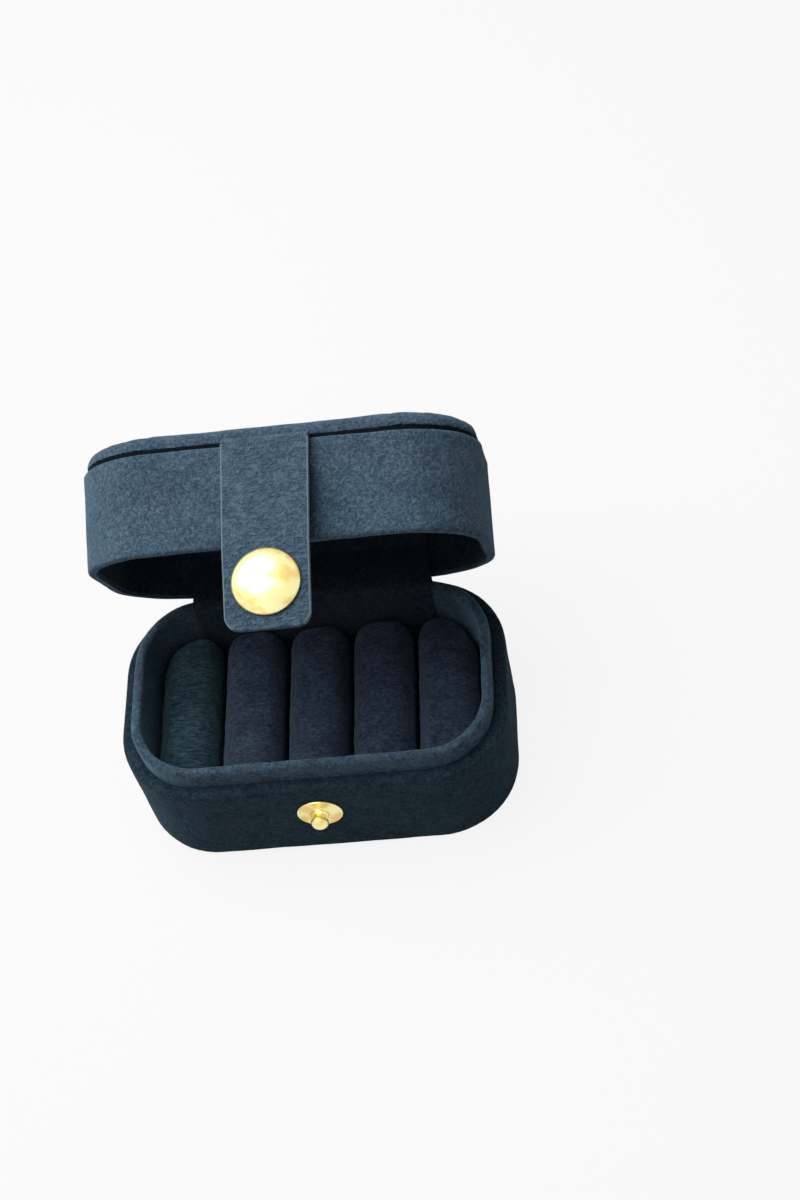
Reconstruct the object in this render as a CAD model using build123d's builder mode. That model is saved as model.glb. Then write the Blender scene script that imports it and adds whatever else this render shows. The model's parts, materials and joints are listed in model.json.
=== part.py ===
from build123d import *
from math import atan2, degrees, hypot, tan, radians
import os

# A travel ring box with a hinged lid, a snap strap and five ring rolls. Millimetres.
# X to the right, Y to the back, Z up. The origin is the middle of the underside.
# The lid is drawn shut and then turned open about its fabric hinge, which is how it rests.

# Outline of the shut box
box_width = 92.0
box_depth = 55.5
corner_radius = 19.5
base_height = 29.0
lid_height = 27.6
rim_gap = 0.3
lid_open_angle = 66.0

# Suede and the walls under it
cover_thickness = 0.8
base_wall = 2.3
lid_wall = 1.2
rim_edge_radius = 0.6
bottom_edge_radius = 2.2

# Underside
underside_proud = 0.3
turn_in = 5.0
panel_clearance = 0.3
board_thickness = 2.0
board_clearance = 0.1

# Collar, the padded band that stands above the base rim
collar_gap = 0.2
collar_rise = 5.6
collar_band = 1.1
collar_skin = 0.6
collar_edge_radius = 1.1

# Tray and the ring rolls on it
tray_clearance = 0.2
underlay_thickness = 4.0
tray_floor_thickness = 1.2
roll_count = 5
roll_gap = 0.45
roll_side_room = 1.25
roll_top_below_rim = 2.0
roll_end_clearance = 0.4
roll_end_radius = 3.2
roll_skin = 0.8
roll_end_stuffing = 2.0

# Lid lining, ceiling and padded top
lining_thickness = 0.6
ceiling_board_thickness = 1.2
ceiling_pad_thickness = 2.0
ceiling_clearance = 0.2
ceiling_edge_radius = 1.2
top_edge_height = 3.6
seam_height = 1.0
seam_depth = 1.2
top_board_thickness = 2.0
top_edge_radius = 2.3
top_lower_radius = 0.7
crown_height = 0.7

# Fabric hinge
hinge_past_flat = 2.4
outer_strip = 0.8
inner_strip = 0.6
hinge_leaf = 11.0
inner_leaf = 9.0
leaf_corner_radius = 2.5
strip_clearance = 0.25
inner_leaf_above_collar = 2.0
inner_bend_radius = 2.5

# Strap
strap_root_width = 19.6
strap_end_width = 18.6
strap_layer = 0.8
strap_corner_radius = 3.2
strap_root_length = 7.0
strap_pivot_off_wall = 1.15
strap_root_gap = 0.4
strap_bend_radius = 30.0
strap_bend_below_rim = 2.2
strap_tab = 10.4
strap_lift_angle = 7.0
root_clearance = 0.1

# Snap: stud on the base, cap and socket on the strap
snap_below_rim = 10.5
cap_radius = 7.5
cap_height = 3.3
cap_sheet = 0.45
cap_rim_height = 0.7
cap_lip_radius = 5.9
post_disc_radius = 6.4
post_disc_thickness = 0.4
post_bore_radius = 2.2
post_wall = 0.4
post_clinch = 0.45
post_hole_clearance = 0.05
socket_radius = 5.4
socket_height = 2.4
socket_plate = 0.35
socket_mouth_radius = 2.35
socket_cavity_radius = 3.3
socket_edge_radius = 0.6
socket_lip = 0.4
seat_gap = 0.25
spring_wire_radius = 0.28
spring_radius = 2.15
spring_room = 0.06
spring_arc = 320.0
stud_flange_radius = 5.4
stud_flange_height = 0.6
stud_dish_height = 0.3
stud_dish_slope = 0.3
stud_neck_radius = 1.3
stud_ball_radius = 1.95
stud_height = 4.4
stud_bore_radius = 0.9
stud_bore_end = 0.8
rivet_shank_clearance = 0.06
rivet_head_radius = 4.2
rivet_head_thickness = 0.7
rivet_recess_clearance = 0.1

# Levels above the underside and insets from the outline
frame_bottom = underside_proud + cover_thickness
board_top = frame_bottom + board_thickness
tray_bottom = board_top + underlay_thickness
roll_bottom = tray_bottom + tray_floor_thickness
collar_top = base_height + collar_rise
base_wall_top = base_height - cover_thickness
base_rim_width = cover_thickness + base_wall
collar_inset = base_rim_width + collar_gap
collar_core_inset = collar_inset + collar_skin
collar_width = collar_band + 2 * collar_skin
tray_inset = collar_inset + collar_width
tray_width = box_width - 2 * tray_inset
roll_width = (tray_width - 2 * roll_side_room - (roll_count - 1) * roll_gap) / roll_count
hinge_width = box_width - 2 * corner_radius + 2 * hinge_past_flat
lid_rim_width = cover_thickness + lid_wall
lid_inside_inset = lid_rim_width + lining_thickness
ceiling_inset = lid_inside_inset + ceiling_clearance

# Levels of the shut lid
lid_rim_level = base_height + rim_gap
lid_wall_level = lid_rim_level + cover_thickness
panel_top = lid_rim_level + lid_height
panel_bottom = panel_top - top_edge_height
seam_level = panel_bottom - seam_height
ceiling_board_bottom = seam_level - ceiling_board_thickness
ceiling_bottom = ceiling_board_bottom - ceiling_pad_thickness

# The hinge line runs through the middle of the outer strip, level with the gap between the rims.
hinge_y = box_depth / 2 + outer_strip / 2
hinge_z = base_height + rim_gap / 2
lid_turn = Pos(0, hinge_y, hinge_z) * Rot(X=-lid_open_angle) * Pos(0, -hinge_y, -hinge_z)
lid_up = Axis((lid_turn * Pos(0, 0, lid_rim_level)).position, Plane(lid_turn).z_dir)

# The strap turns about a line just outside the seam. It leans away from the wall, then bends
# back, so that the snap stands square on the stud when it is pressed home.
front_wall = -box_depth / 2
strap_pivot_level = seam_level + seam_height / 2
snap_level = base_height - snap_below_rim
socket_face = stud_flange_height + seat_gap
strap_inner_face = socket_face + socket_height
strap_outer_face = strap_inner_face + 2 * strap_layer
strap_lean = strap_inner_face + strap_layer - strap_pivot_off_wall
strap_bend_drop = strap_pivot_level - lid_rim_level + strap_bend_below_rim
snap_drop = strap_pivot_level - snap_level
strap_length = snap_drop + strap_tab
strap_pivot = Pos(0, front_wall - strap_pivot_off_wall, strap_pivot_level)
strap_turn = lid_turn * strap_pivot * Rot(X=-strap_lift_angle)
snap_drawing = Plane(origin=(0, 0, 0), x_dir=(1, 0, 0), z_dir=(0, 0, -1))
strap_snap = Plane(strap_turn * Pos(0, strap_pivot_off_wall, -snap_drop) * snap_drawing.location)
base_snap = Plane(Pos(0, front_wall, snap_level) * snap_drawing.location)


def plan(inset):
    """Width, depth and corner radius of the box outline moved in by inset."""
    return box_width - 2 * inset, box_depth - 2 * inset, corner_radius - inset


def block(plane, inset, height):
    """The outline moved in by inset, raised from the plane."""
    with BuildSketch(plane) as outline:
        RectangleRounded(*plan(inset))
    extrude(outline.sketch, amount=height)


def cut_block(plane, inset, height):
    """The same form cut away."""
    with BuildSketch(plane) as outline:
        RectangleRounded(*plan(inset))
    extrude(outline.sketch, amount=height, mode=Mode.SUBTRACT)


def lid_plane(level):
    """A level of the shut lid, turned open with it."""
    return Plane(lid_turn * Pos(0, 0, level))


def turn_about_snap(plane):
    """Revolves the drawn half section about the snap's own axis."""
    revolve(axis=Axis(plane.origin, plane.y_dir))


def save(piece, name):
    """Labels a finished piece and writes its file."""
    piece.part.label = name
    export_step(piece.part, f"parts/{name}.step")


os.makedirs("parts", exist_ok=True)

# ---------------------------------------------------------------- base: wall, cover, boards
with BuildPart() as base_core:
    block(Plane.XY.offset(frame_bottom), cover_thickness, base_wall_top - frame_bottom)
    bottom_edges = base_core.faces().sort_by(Axis.Z)[0].edges()
    fillet(bottom_edges, bottom_edge_radius - cover_thickness)

with BuildPart() as base_frame:
    add(base_core.part)
    cut_block(Plane.XY.offset(frame_bottom), base_rim_width, base_height)
    with Locations(Plane(origin=(0, front_wall + base_rim_width, snap_level), z_dir=(0, 1, 0))):
        CounterBoreHole(
            radius=stud_bore_radius + rivet_shank_clearance,
            counter_bore_radius=rivet_head_radius + rivet_recess_clearance,
            counter_bore_depth=rivet_head_thickness + rivet_recess_clearance,
            depth=base_rim_width,
        )
save(base_frame, "base_frame")

with BuildPart() as base_side_cover:
    block(Plane.XY.offset(underside_proud), 0, base_height - underside_proud)
    fillet(base_side_cover.faces().sort_by(Axis.Z)[0].edges(), bottom_edge_radius)
    fillet(base_side_cover.faces().sort_by(Axis.Z)[-1].edges(), rim_edge_radius)
    add(base_core.part, mode=Mode.SUBTRACT)
    cut_block(Plane.XY.offset(frame_bottom), base_rim_width, base_height)
    cut_block(Plane.XY, turn_in, frame_bottom)
    with Locations(Plane(origin=(0, front_wall, snap_level), z_dir=(0, -1, 0))):
        Hole(radius=stud_bore_radius + rivet_shank_clearance, depth=base_rim_width)
save(base_side_cover, "base_side_cover")

with BuildPart() as base_bottom_board:
    block(Plane.XY.offset(frame_bottom), base_rim_width + board_clearance, board_thickness)
save(base_bottom_board, "base_bottom_board")

with BuildPart() as underside_panel:
    block(Plane.XY, turn_in + panel_clearance, frame_bottom)
save(underside_panel, "underside_panel")

# ---------------------------------------------------------------- base: collar
with BuildPart() as collar_core:
    block(Plane.XY.offset(board_top), collar_core_inset, collar_top - collar_skin - board_top)
    cut_block(Plane.XY.offset(board_top), collar_core_inset + collar_band, collar_top)
save(collar_core, "collar_core")

with BuildPart() as collar_cover:
    block(Plane.XY.offset(board_top), collar_inset, collar_top - board_top)
    cut_block(Plane.XY.offset(board_top), tray_inset, collar_top)
    fillet(collar_cover.faces().sort_by(Axis.Z)[-1].edges(), collar_edge_radius)
    add(collar_core.part, mode=Mode.SUBTRACT)
save(collar_cover, "collar_cover")

# ---------------------------------------------------------------- base: tray and ring rolls
with BuildPart() as tray_underlay:
    block(Plane.XY.offset(board_top), tray_inset + tray_clearance, underlay_thickness)
save(tray_underlay, "tray_underlay")

with BuildPart() as tray_floor:
    block(Plane.XY.offset(tray_bottom), tray_inset + tray_clearance, tray_floor_thickness)
save(tray_floor, "tray_floor")

roll_front = -box_depth / 2 + tray_inset + roll_end_clearance
roll_back = box_depth / 2 - tray_inset - strip_clearance - inner_strip - roll_end_clearance
roll_height = base_height - roll_top_below_rim - roll_bottom
roll_pitch = roll_width + roll_gap


def roll_bar(middle, skin, end):
    """A bar with a round top along Y, in by skin at its sides and top and by end at its ends."""
    width = roll_width - 2 * skin
    shoulder = roll_height - skin - width / 2
    with BuildSketch(Plane.XZ.offset(end - roll_back)) as section:
        with Locations((middle, roll_bottom + shoulder)):
            Circle(width / 2)
            Rectangle(width, shoulder, align=(Align.CENTER, Align.MAX))
    extrude(section.sketch, amount=roll_back - roll_front - 2 * end)


def inside_tray(skin):
    """Trims what is being built to the tray's rounded outline."""
    with BuildSketch(Plane.XY.offset(roll_bottom)) as tray_outline:
        RectangleRounded(*plan(tray_inset + roll_end_clearance + skin))
    extrude(tray_outline.sketch, amount=roll_height, mode=Mode.INTERSECT)


for number in range(roll_count):
    middle = (number - (roll_count - 1) / 2) * roll_pitch

    with BuildPart() as roll_foam:
        roll_bar(middle, roll_skin, roll_end_stuffing)
        inside_tray(roll_skin)
    save(roll_foam, f"roll_foam_{number + 1}")

    with BuildPart() as roll_cover:
        roll_bar(middle, 0, 0)
        end_edges = roll_cover.faces().filter_by(Axis.Y).edges()
        fillet(end_edges.filter_by(lambda edge: edge.center().Z > roll_bottom), roll_end_radius)
        inside_tray(0)
        add(roll_foam.part, mode=Mode.SUBTRACT)
    save(roll_cover, f"roll_cover_{number + 1}")

# ---------------------------------------------------------------- base: stud and its rivet
ball_level = stud_height - stud_ball_radius
neck_top = ball_level - (stud_ball_radius**2 - stud_neck_radius**2) ** 0.5
rivet_end = stud_height - stud_bore_end - rivet_shank_clearance

with BuildPart() as snap_stud:
    with BuildSketch(base_snap):
        with BuildLine():
            Line((0, 0), (stud_flange_radius - stud_dish_height, 0))
            TangentArc(
                (stud_flange_radius - stud_dish_height, 0),
                (stud_flange_radius - stud_dish_height, stud_flange_height),
                tangent=(1, 0),
            )
            TangentArc(
                (stud_flange_radius - stud_dish_height, stud_flange_height),
                (stud_neck_radius, stud_dish_height),
                tangent=(-1, -stud_dish_slope),
            )
            Line((stud_neck_radius, stud_dish_height), (stud_neck_radius, neck_top))
            ThreePointArc(
                (stud_neck_radius, neck_top),
                (stud_ball_radius, ball_level),
                (0, stud_height),
            )
            Line((0, stud_height), (0, 0))
        make_face()
        with Locations((0, 0)):
            Rectangle(
                stud_bore_radius,
                stud_height - stud_bore_end,
                align=(Align.MIN, Align.MIN),
                mode=Mode.SUBTRACT,
            )
    turn_about_snap(base_snap)
save(snap_stud, "snap_stud")

with BuildPart() as stud_rivet:
    with BuildSketch(base_snap):
        with Locations((0, -base_rim_width)):
            Rectangle(rivet_head_radius, rivet_head_thickness, align=(Align.MIN, Align.MIN))
            Rectangle(
                stud_bore_radius - rivet_shank_clearance,
                base_rim_width + rivet_end,
                align=(Align.MIN, Align.MIN),
            )
    turn_about_snap(base_snap)
save(stud_rivet, "stud_rivet")

# ---------------------------------------------------------------- lid: wall, cover, lining
with BuildPart() as lid_core:
    block(lid_plane(lid_wall_level), cover_thickness, seam_level - lid_wall_level)

with BuildPart() as lid_frame:
    add(lid_core.part)
    cut_block(lid_plane(lid_rim_level), lid_rim_width, lid_height)
save(lid_frame, "lid_frame")

with BuildPart() as lid_side_cover:
    block(lid_plane(lid_rim_level), 0, seam_level - lid_rim_level)
    fillet(lid_side_cover.faces().sort_by(lid_up)[0].edges(), rim_edge_radius)
    fillet(lid_side_cover.faces().sort_by(lid_up)[-1].edges(), rim_edge_radius)
    add(lid_core.part, mode=Mode.SUBTRACT)
    cut_block(lid_plane(lid_rim_level), lid_rim_width, lid_height)
save(lid_side_cover, "lid_side_cover")

with BuildPart() as lid_lining:
    block(lid_plane(lid_wall_level), lid_rim_width, seam_level - lid_wall_level)
    cut_block(lid_plane(lid_rim_level), lid_inside_inset, lid_height)
save(lid_lining, "lid_lining")

with BuildPart() as lid_ceiling_board:
    block(lid_plane(ceiling_board_bottom), ceiling_inset, ceiling_board_thickness)
save(lid_ceiling_board, "lid_ceiling_board")

with BuildPart() as lid_ceiling_pad:
    block(lid_plane(ceiling_bottom), ceiling_inset, ceiling_pad_thickness)
    fillet(lid_ceiling_pad.faces().sort_by(lid_up)[0].edges(), ceiling_edge_radius)
save(lid_ceiling_pad, "lid_ceiling_pad")

# ---------------------------------------------------------------- lid: padded top
crown_radius = ((box_width / 2) ** 2 + crown_height**2) / (2 * crown_height)


def padded_top(inset):
    """The crowned top panel with rounded edges, moved in by inset on every side."""
    level = panel_bottom + inset
    crown = panel_top + crown_height - crown_radius
    block(lid_plane(level), inset, panel_top + crown_height - level)
    with Locations(lid_turn * Pos(0, 0, crown)):
        Sphere(crown_radius - inset, mode=Mode.INTERSECT)


with BuildPart() as padding_form:
    padded_top(cover_thickness)
    fillet(padding_form.faces().sort_by(lid_up)[-1].edges(), top_edge_radius - cover_thickness)

with BuildPart() as lid_top_board:
    block(lid_plane(seam_level), seam_depth, top_board_thickness)
    with BuildSketch(lid_plane(seam_level)):
        with Locations((0, front_wall)):
            Rectangle(
                strap_root_width + 2 * root_clearance,
                strap_root_length + root_clearance,
                align=(Align.CENTER, Align.MIN),
            )
    extrude(amount=seam_height, mode=Mode.SUBTRACT)
save(lid_top_board, "lid_top_board")

with BuildPart() as board_space:
    block(lid_plane(seam_level), seam_depth, top_board_thickness)

with BuildPart() as lid_top_padding:
    add(padding_form.part)
    add(board_space.part, mode=Mode.SUBTRACT)
save(lid_top_padding, "lid_top_padding")

with BuildPart() as lid_top_cover:
    padded_top(0)
    fillet(lid_top_cover.faces().sort_by(lid_up)[-1].edges(), top_edge_radius)
    fillet(lid_top_cover.faces().sort_by(lid_up)[0].edges(), top_lower_radius)
    add(padding_form.part, mode=Mode.SUBTRACT)
    add(board_space.part, mode=Mode.SUBTRACT)
save(lid_top_cover, "lid_top_cover")

# ---------------------------------------------------------------- fabric hinge
def hinge_band(plane, length):
    """One leaf of the outer strip, from the hinge line to its rounded corners."""
    with BuildSketch(plane) as leaf:
        Rectangle(hinge_width, length, align=(Align.CENTER, Align.MIN))
        fillet(leaf.vertices().group_by(Axis.Y)[-1], leaf_corner_radius)
    extrude(leaf.sketch, amount=outer_strip)


base_back = Plane(origin=(0, box_depth / 2, hinge_z), x_dir=(1, 0, 0), z_dir=(0, 1, 0))
lid_back_shut = Plane(origin=(0, box_depth / 2, hinge_z), x_dir=(-1, 0, 0), z_dir=(0, 1, 0))
lid_back = Plane(lid_turn * lid_back_shut.location)

with BuildPart() as hinge_outer_strip:
    hinge_band(base_back, hinge_leaf)
    hinge_band(lid_back, hinge_leaf)
    with Locations(Location((0, hinge_y, hinge_z), (0, 90, 0))):
        Cylinder(outer_strip / 2, hinge_width)
save(hinge_outer_strip, "hinge_outer_strip")

strip_stand = inner_strip / 2 + strip_clearance
strip_y = box_depth / 2 - tray_inset - strip_stand
lid_strip_y = box_depth / 2 - lid_inside_inset - strip_stand
lid_strip_start = collar_top + rim_gap + inner_leaf_above_collar


def lid_point(y, level):
    """Where a point of the shut lid's middle section lies with the lid open."""
    place = (lid_turn * Pos(0, y, level)).position
    return (place.Y, place.Z)


with BuildPart() as hinge_inner_strip:
    with BuildSketch(Plane.YZ):
        with BuildLine():
            FilletPolyline(
                (strip_y, base_height - hinge_leaf),
                (strip_y, collar_top + strip_stand),
                lid_point(lid_strip_y, lid_strip_start),
                lid_point(lid_strip_y, lid_strip_start + inner_leaf),
                radius=(collar_edge_radius + strip_stand, inner_bend_radius),
            )
        trace(line_width=inner_strip)
    extrude(amount=hinge_width / 2, both=True)
save(hinge_inner_strip, "hinge_inner_strip")

# ---------------------------------------------------------------- strap
with BuildPart() as strap_root:
    with BuildSketch(lid_plane(seam_level)):
        with Locations((0, front_wall)):
            Rectangle(strap_root_width, strap_root_length, align=(Align.CENTER, Align.MIN))
    extrude(amount=seam_height)
save(strap_root, "strap_root")

strap_side = Plane(strap_turn * Plane.YZ.location)
strap_front = Plane(strap_turn * Plane.XZ.location)
lean_run = hypot(strap_lean, strap_bend_drop)
lean_angle = degrees(atan2(strap_lean, strap_bend_drop))


def strap_line(offset):
    """The side line of the strap, offset outwards from its middle surface."""
    mitre = offset * tan(radians(lean_angle) / 2)
    along = (-strap_lean / lean_run, -strap_bend_drop / lean_run)
    outward = (along[1], -along[0])
    start = (
        along[0] * strap_root_gap + outward[0] * offset,
        along[1] * strap_root_gap + outward[1] * offset,
    )
    bend = (-strap_lean - offset, -strap_bend_drop + mitre)
    end = (-strap_lean - offset, -strap_length)
    FilletPolyline(start, bend, end, radius=strap_bend_radius + offset)
    return start, end


with BuildPart() as strap_outline:
    with BuildSketch(strap_front) as front_shape:
        with BuildLine():
            Polyline(
                (-strap_root_width / 2, 0),
                (strap_root_width / 2, 0),
                (strap_end_width / 2, -strap_length),
                (-strap_end_width / 2, -strap_length),
                close=True,
            )
        make_face()
        fillet(front_shape.vertices().group_by(Axis.Y)[0], strap_corner_radius)
    extrude(amount=strap_length, both=True)

snap_face = Plane(origin=strap_snap.origin, x_dir=(1, 0, 0), z_dir=strap_snap.y_dir)
post_radius = post_bore_radius + post_wall


def strap_band(inner, outer):
    """A layer of the strap between two offsets from its middle surface, with the post's hole."""
    with BuildSketch(strap_side) as layer:
        with BuildLine():
            inner_start, inner_end = strap_line(inner)
            outer_start, outer_end = strap_line(outer)
            Line(inner_start, outer_start)
            Line(inner_end, outer_end)
        make_face()
    extrude(layer.sketch, amount=strap_root_width / 2, both=True)
    add(strap_outline.part, mode=Mode.INTERSECT)
    with Locations(snap_face):
        Hole(radius=post_radius + post_hole_clearance)


with BuildPart() as strap_backing:
    strap_band(-strap_layer, 0)
save(strap_backing, "strap_backing")

with BuildPart() as strap_face:
    strap_band(0, strap_layer)
save(strap_face, "strap_face")

# ---------------------------------------------------------------- snap on the strap
cap_base = strap_outer_face
cap_inner_radius = cap_radius - cap_sheet
cap_rim_level = cap_base + cap_rim_height
cap_roll_radius = cap_radius - cap_rim_height

with BuildPart() as snap_cap:
    with BuildSketch(strap_snap):
        with BuildLine():
            TangentArc((0, cap_base + cap_height), (cap_radius, cap_rim_level), tangent=(1, 0))
            TangentArc((cap_radius, cap_rim_level), (cap_roll_radius, cap_base), tangent=(0, -1))
            Polyline(
                (cap_roll_radius, cap_base),
                (cap_lip_radius, cap_base),
                (cap_lip_radius, cap_base + cap_sheet),
                (cap_roll_radius, cap_base + cap_sheet),
                (cap_inner_radius, cap_rim_level),
            )
            TangentArc(
                (0, cap_base + cap_height - cap_sheet),
                (cap_inner_radius, cap_rim_level),
                tangent=(1, 0),
            )
            Line((0, cap_base + cap_height - cap_sheet), (0, cap_base + cap_height))
        make_face()
    turn_about_snap(strap_snap)
save(snap_cap, "snap_cap")

socket_back = strap_inner_face
plate_face = socket_back - socket_plate
clinch_face = plate_face - post_clinch
disc_base = cap_base + cap_sheet

with BuildPart() as cap_post:
    with BuildSketch(strap_snap):
        with BuildLine():
            Polyline(
                (post_bore_radius, disc_base + post_disc_thickness),
                (post_disc_radius, disc_base + post_disc_thickness),
                (post_disc_radius, disc_base),
                (post_radius, disc_base),
                (post_radius, plate_face),
                (post_radius + post_clinch, plate_face),
                (post_radius, clinch_face),
                (post_bore_radius, clinch_face),
                close=True,
            )
        make_face()
    turn_about_snap(strap_snap)
save(cap_post, "cap_post")

spring_level = ball_level - stud_ball_radius / 2
groove_half = spring_wire_radius + spring_room
groove_radius = spring_radius + groove_half
groove_top = spring_level + groove_half

with BuildPart() as snap_socket:
    with BuildSketch(strap_snap):
        with BuildLine():
            Polyline(
                (post_radius + post_hole_clearance, socket_back),
                (socket_radius, socket_back),
                (socket_radius, socket_face + socket_edge_radius),
            )
            TangentArc(
                (socket_radius, socket_face + socket_edge_radius),
                (socket_radius - socket_edge_radius, socket_face),
                tangent=(0, -1),
            )
            Polyline(
                (socket_radius - socket_edge_radius, socket_face),
                (socket_mouth_radius, socket_face),
                (socket_mouth_radius, spring_level - groove_half),
                (groove_radius, spring_level - groove_half),
                (groove_radius, groove_top),
                (socket_mouth_radius, groove_top),
                (socket_mouth_radius, groove_top + socket_lip),
                (socket_cavity_radius, groove_top + socket_lip),
                (socket_cavity_radius, plate_face),
                (post_radius + post_hole_clearance, plate_face),
                (post_radius + post_hole_clearance, socket_back),
            )
        make_face()
    turn_about_snap(strap_snap)
save(snap_socket, "snap_socket")

with BuildPart() as socket_spring:
    with BuildSketch(strap_snap):
        with Locations((spring_radius, spring_level)):
            Circle(spring_wire_radius)
    revolve(axis=Axis(strap_snap.origin, strap_snap.y_dir), revolution_arc=spring_arc)
save(socket_spring, "socket_spring")
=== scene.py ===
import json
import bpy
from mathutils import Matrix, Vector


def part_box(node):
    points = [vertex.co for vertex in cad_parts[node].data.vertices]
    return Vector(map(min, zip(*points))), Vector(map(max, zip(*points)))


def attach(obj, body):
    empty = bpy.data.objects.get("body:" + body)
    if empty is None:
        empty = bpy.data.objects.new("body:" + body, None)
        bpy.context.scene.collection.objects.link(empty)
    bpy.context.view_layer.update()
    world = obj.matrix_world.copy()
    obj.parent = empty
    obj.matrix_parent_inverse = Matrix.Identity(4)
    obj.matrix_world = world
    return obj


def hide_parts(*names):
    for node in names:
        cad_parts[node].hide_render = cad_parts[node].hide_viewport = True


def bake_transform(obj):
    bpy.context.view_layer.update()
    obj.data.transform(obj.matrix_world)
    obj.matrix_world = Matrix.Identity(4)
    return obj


bl_info = {
    "name": "Ring Box with Snap Strap",
    "version": (1, 0, 0),
    "blender": (4, 5, 0),
    "location": "3D View > Sidebar > Ring Box",
    "description": "A travel ring box: suede, ring rolls, fabric hinge, strap and gold snap",
    "category": "Add Mesh",
}

from math import atan2, cos, degrees, hypot, pi, radians, sin, sqrt, tan

import bmesh
import bpy
from bpy.props import FloatProperty, FloatVectorProperty, IntProperty, PointerProperty
from mathutils import Matrix, Vector, noise

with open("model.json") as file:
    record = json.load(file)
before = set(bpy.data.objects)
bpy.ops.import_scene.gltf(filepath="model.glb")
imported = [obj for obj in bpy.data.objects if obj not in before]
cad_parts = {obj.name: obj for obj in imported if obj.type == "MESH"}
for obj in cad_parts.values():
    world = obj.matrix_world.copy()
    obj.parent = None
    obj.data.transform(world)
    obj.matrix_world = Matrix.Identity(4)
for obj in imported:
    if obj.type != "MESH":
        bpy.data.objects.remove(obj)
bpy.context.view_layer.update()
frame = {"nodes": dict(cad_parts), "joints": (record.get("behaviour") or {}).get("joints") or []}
joints = {joint["name"]: joint for joint in frame["joints"]}
shell_low, shell_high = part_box("base_side_cover")
collar_low, collar_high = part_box("collar_cover")
roll_low, roll_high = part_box("roll_cover_3")
lid_hinge = Vector(joints["lid_hinge"]["pos_m"])
strap_hinge = Vector(joints["strap_hinge"]["pos_m"])

MM = 0.001
CLOTH_SCALE = 30.0
CLOTH_FRAMES = 20
ROLL_PRESSURE = 5.0
PANEL_PRESSURE = 4.0
ROLL_VOXEL = 0.7 * MM
PANEL_VOXEL = 0.8 * MM
ROOT_DEPTH = 7.0 * MM
BALL_FLATTENING = 0.8
CAMERA_LENS = 59.210
CAMERA_PLACE = (75.255 * MM, -245.782 * MM, 421.718 * MM)
CAMERA_YAW, CAMERA_PITCH, CAMERA_ROLL = -11.425, 55.098, -14.618
PATTERN_OUTPUTS = (
    ("Colour", "NodeSocketColor"),
    ("Roughness", "NodeSocketFloat"),
    ("Height", "NodeSocketFloat"),
)


# ------------------------------------------------------------------ sizes and colours
def length(name, description, millimetres):
    """A size that a user may change, kept in metres."""
    return FloatProperty(
        name=name,
        description=description,
        default=millimetres * MM,
        min=0.0,
        precision=5,
        unit="LENGTH",
    )


def colour(name, description, red, green, blue):
    """A colour that a user may change, in linear light."""
    return FloatVectorProperty(
        name=name,
        description=description,
        subtype="COLOR",
        size=3,
        min=0.0,
        max=1.0,
        default=(red, green, blue),
    )


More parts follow.
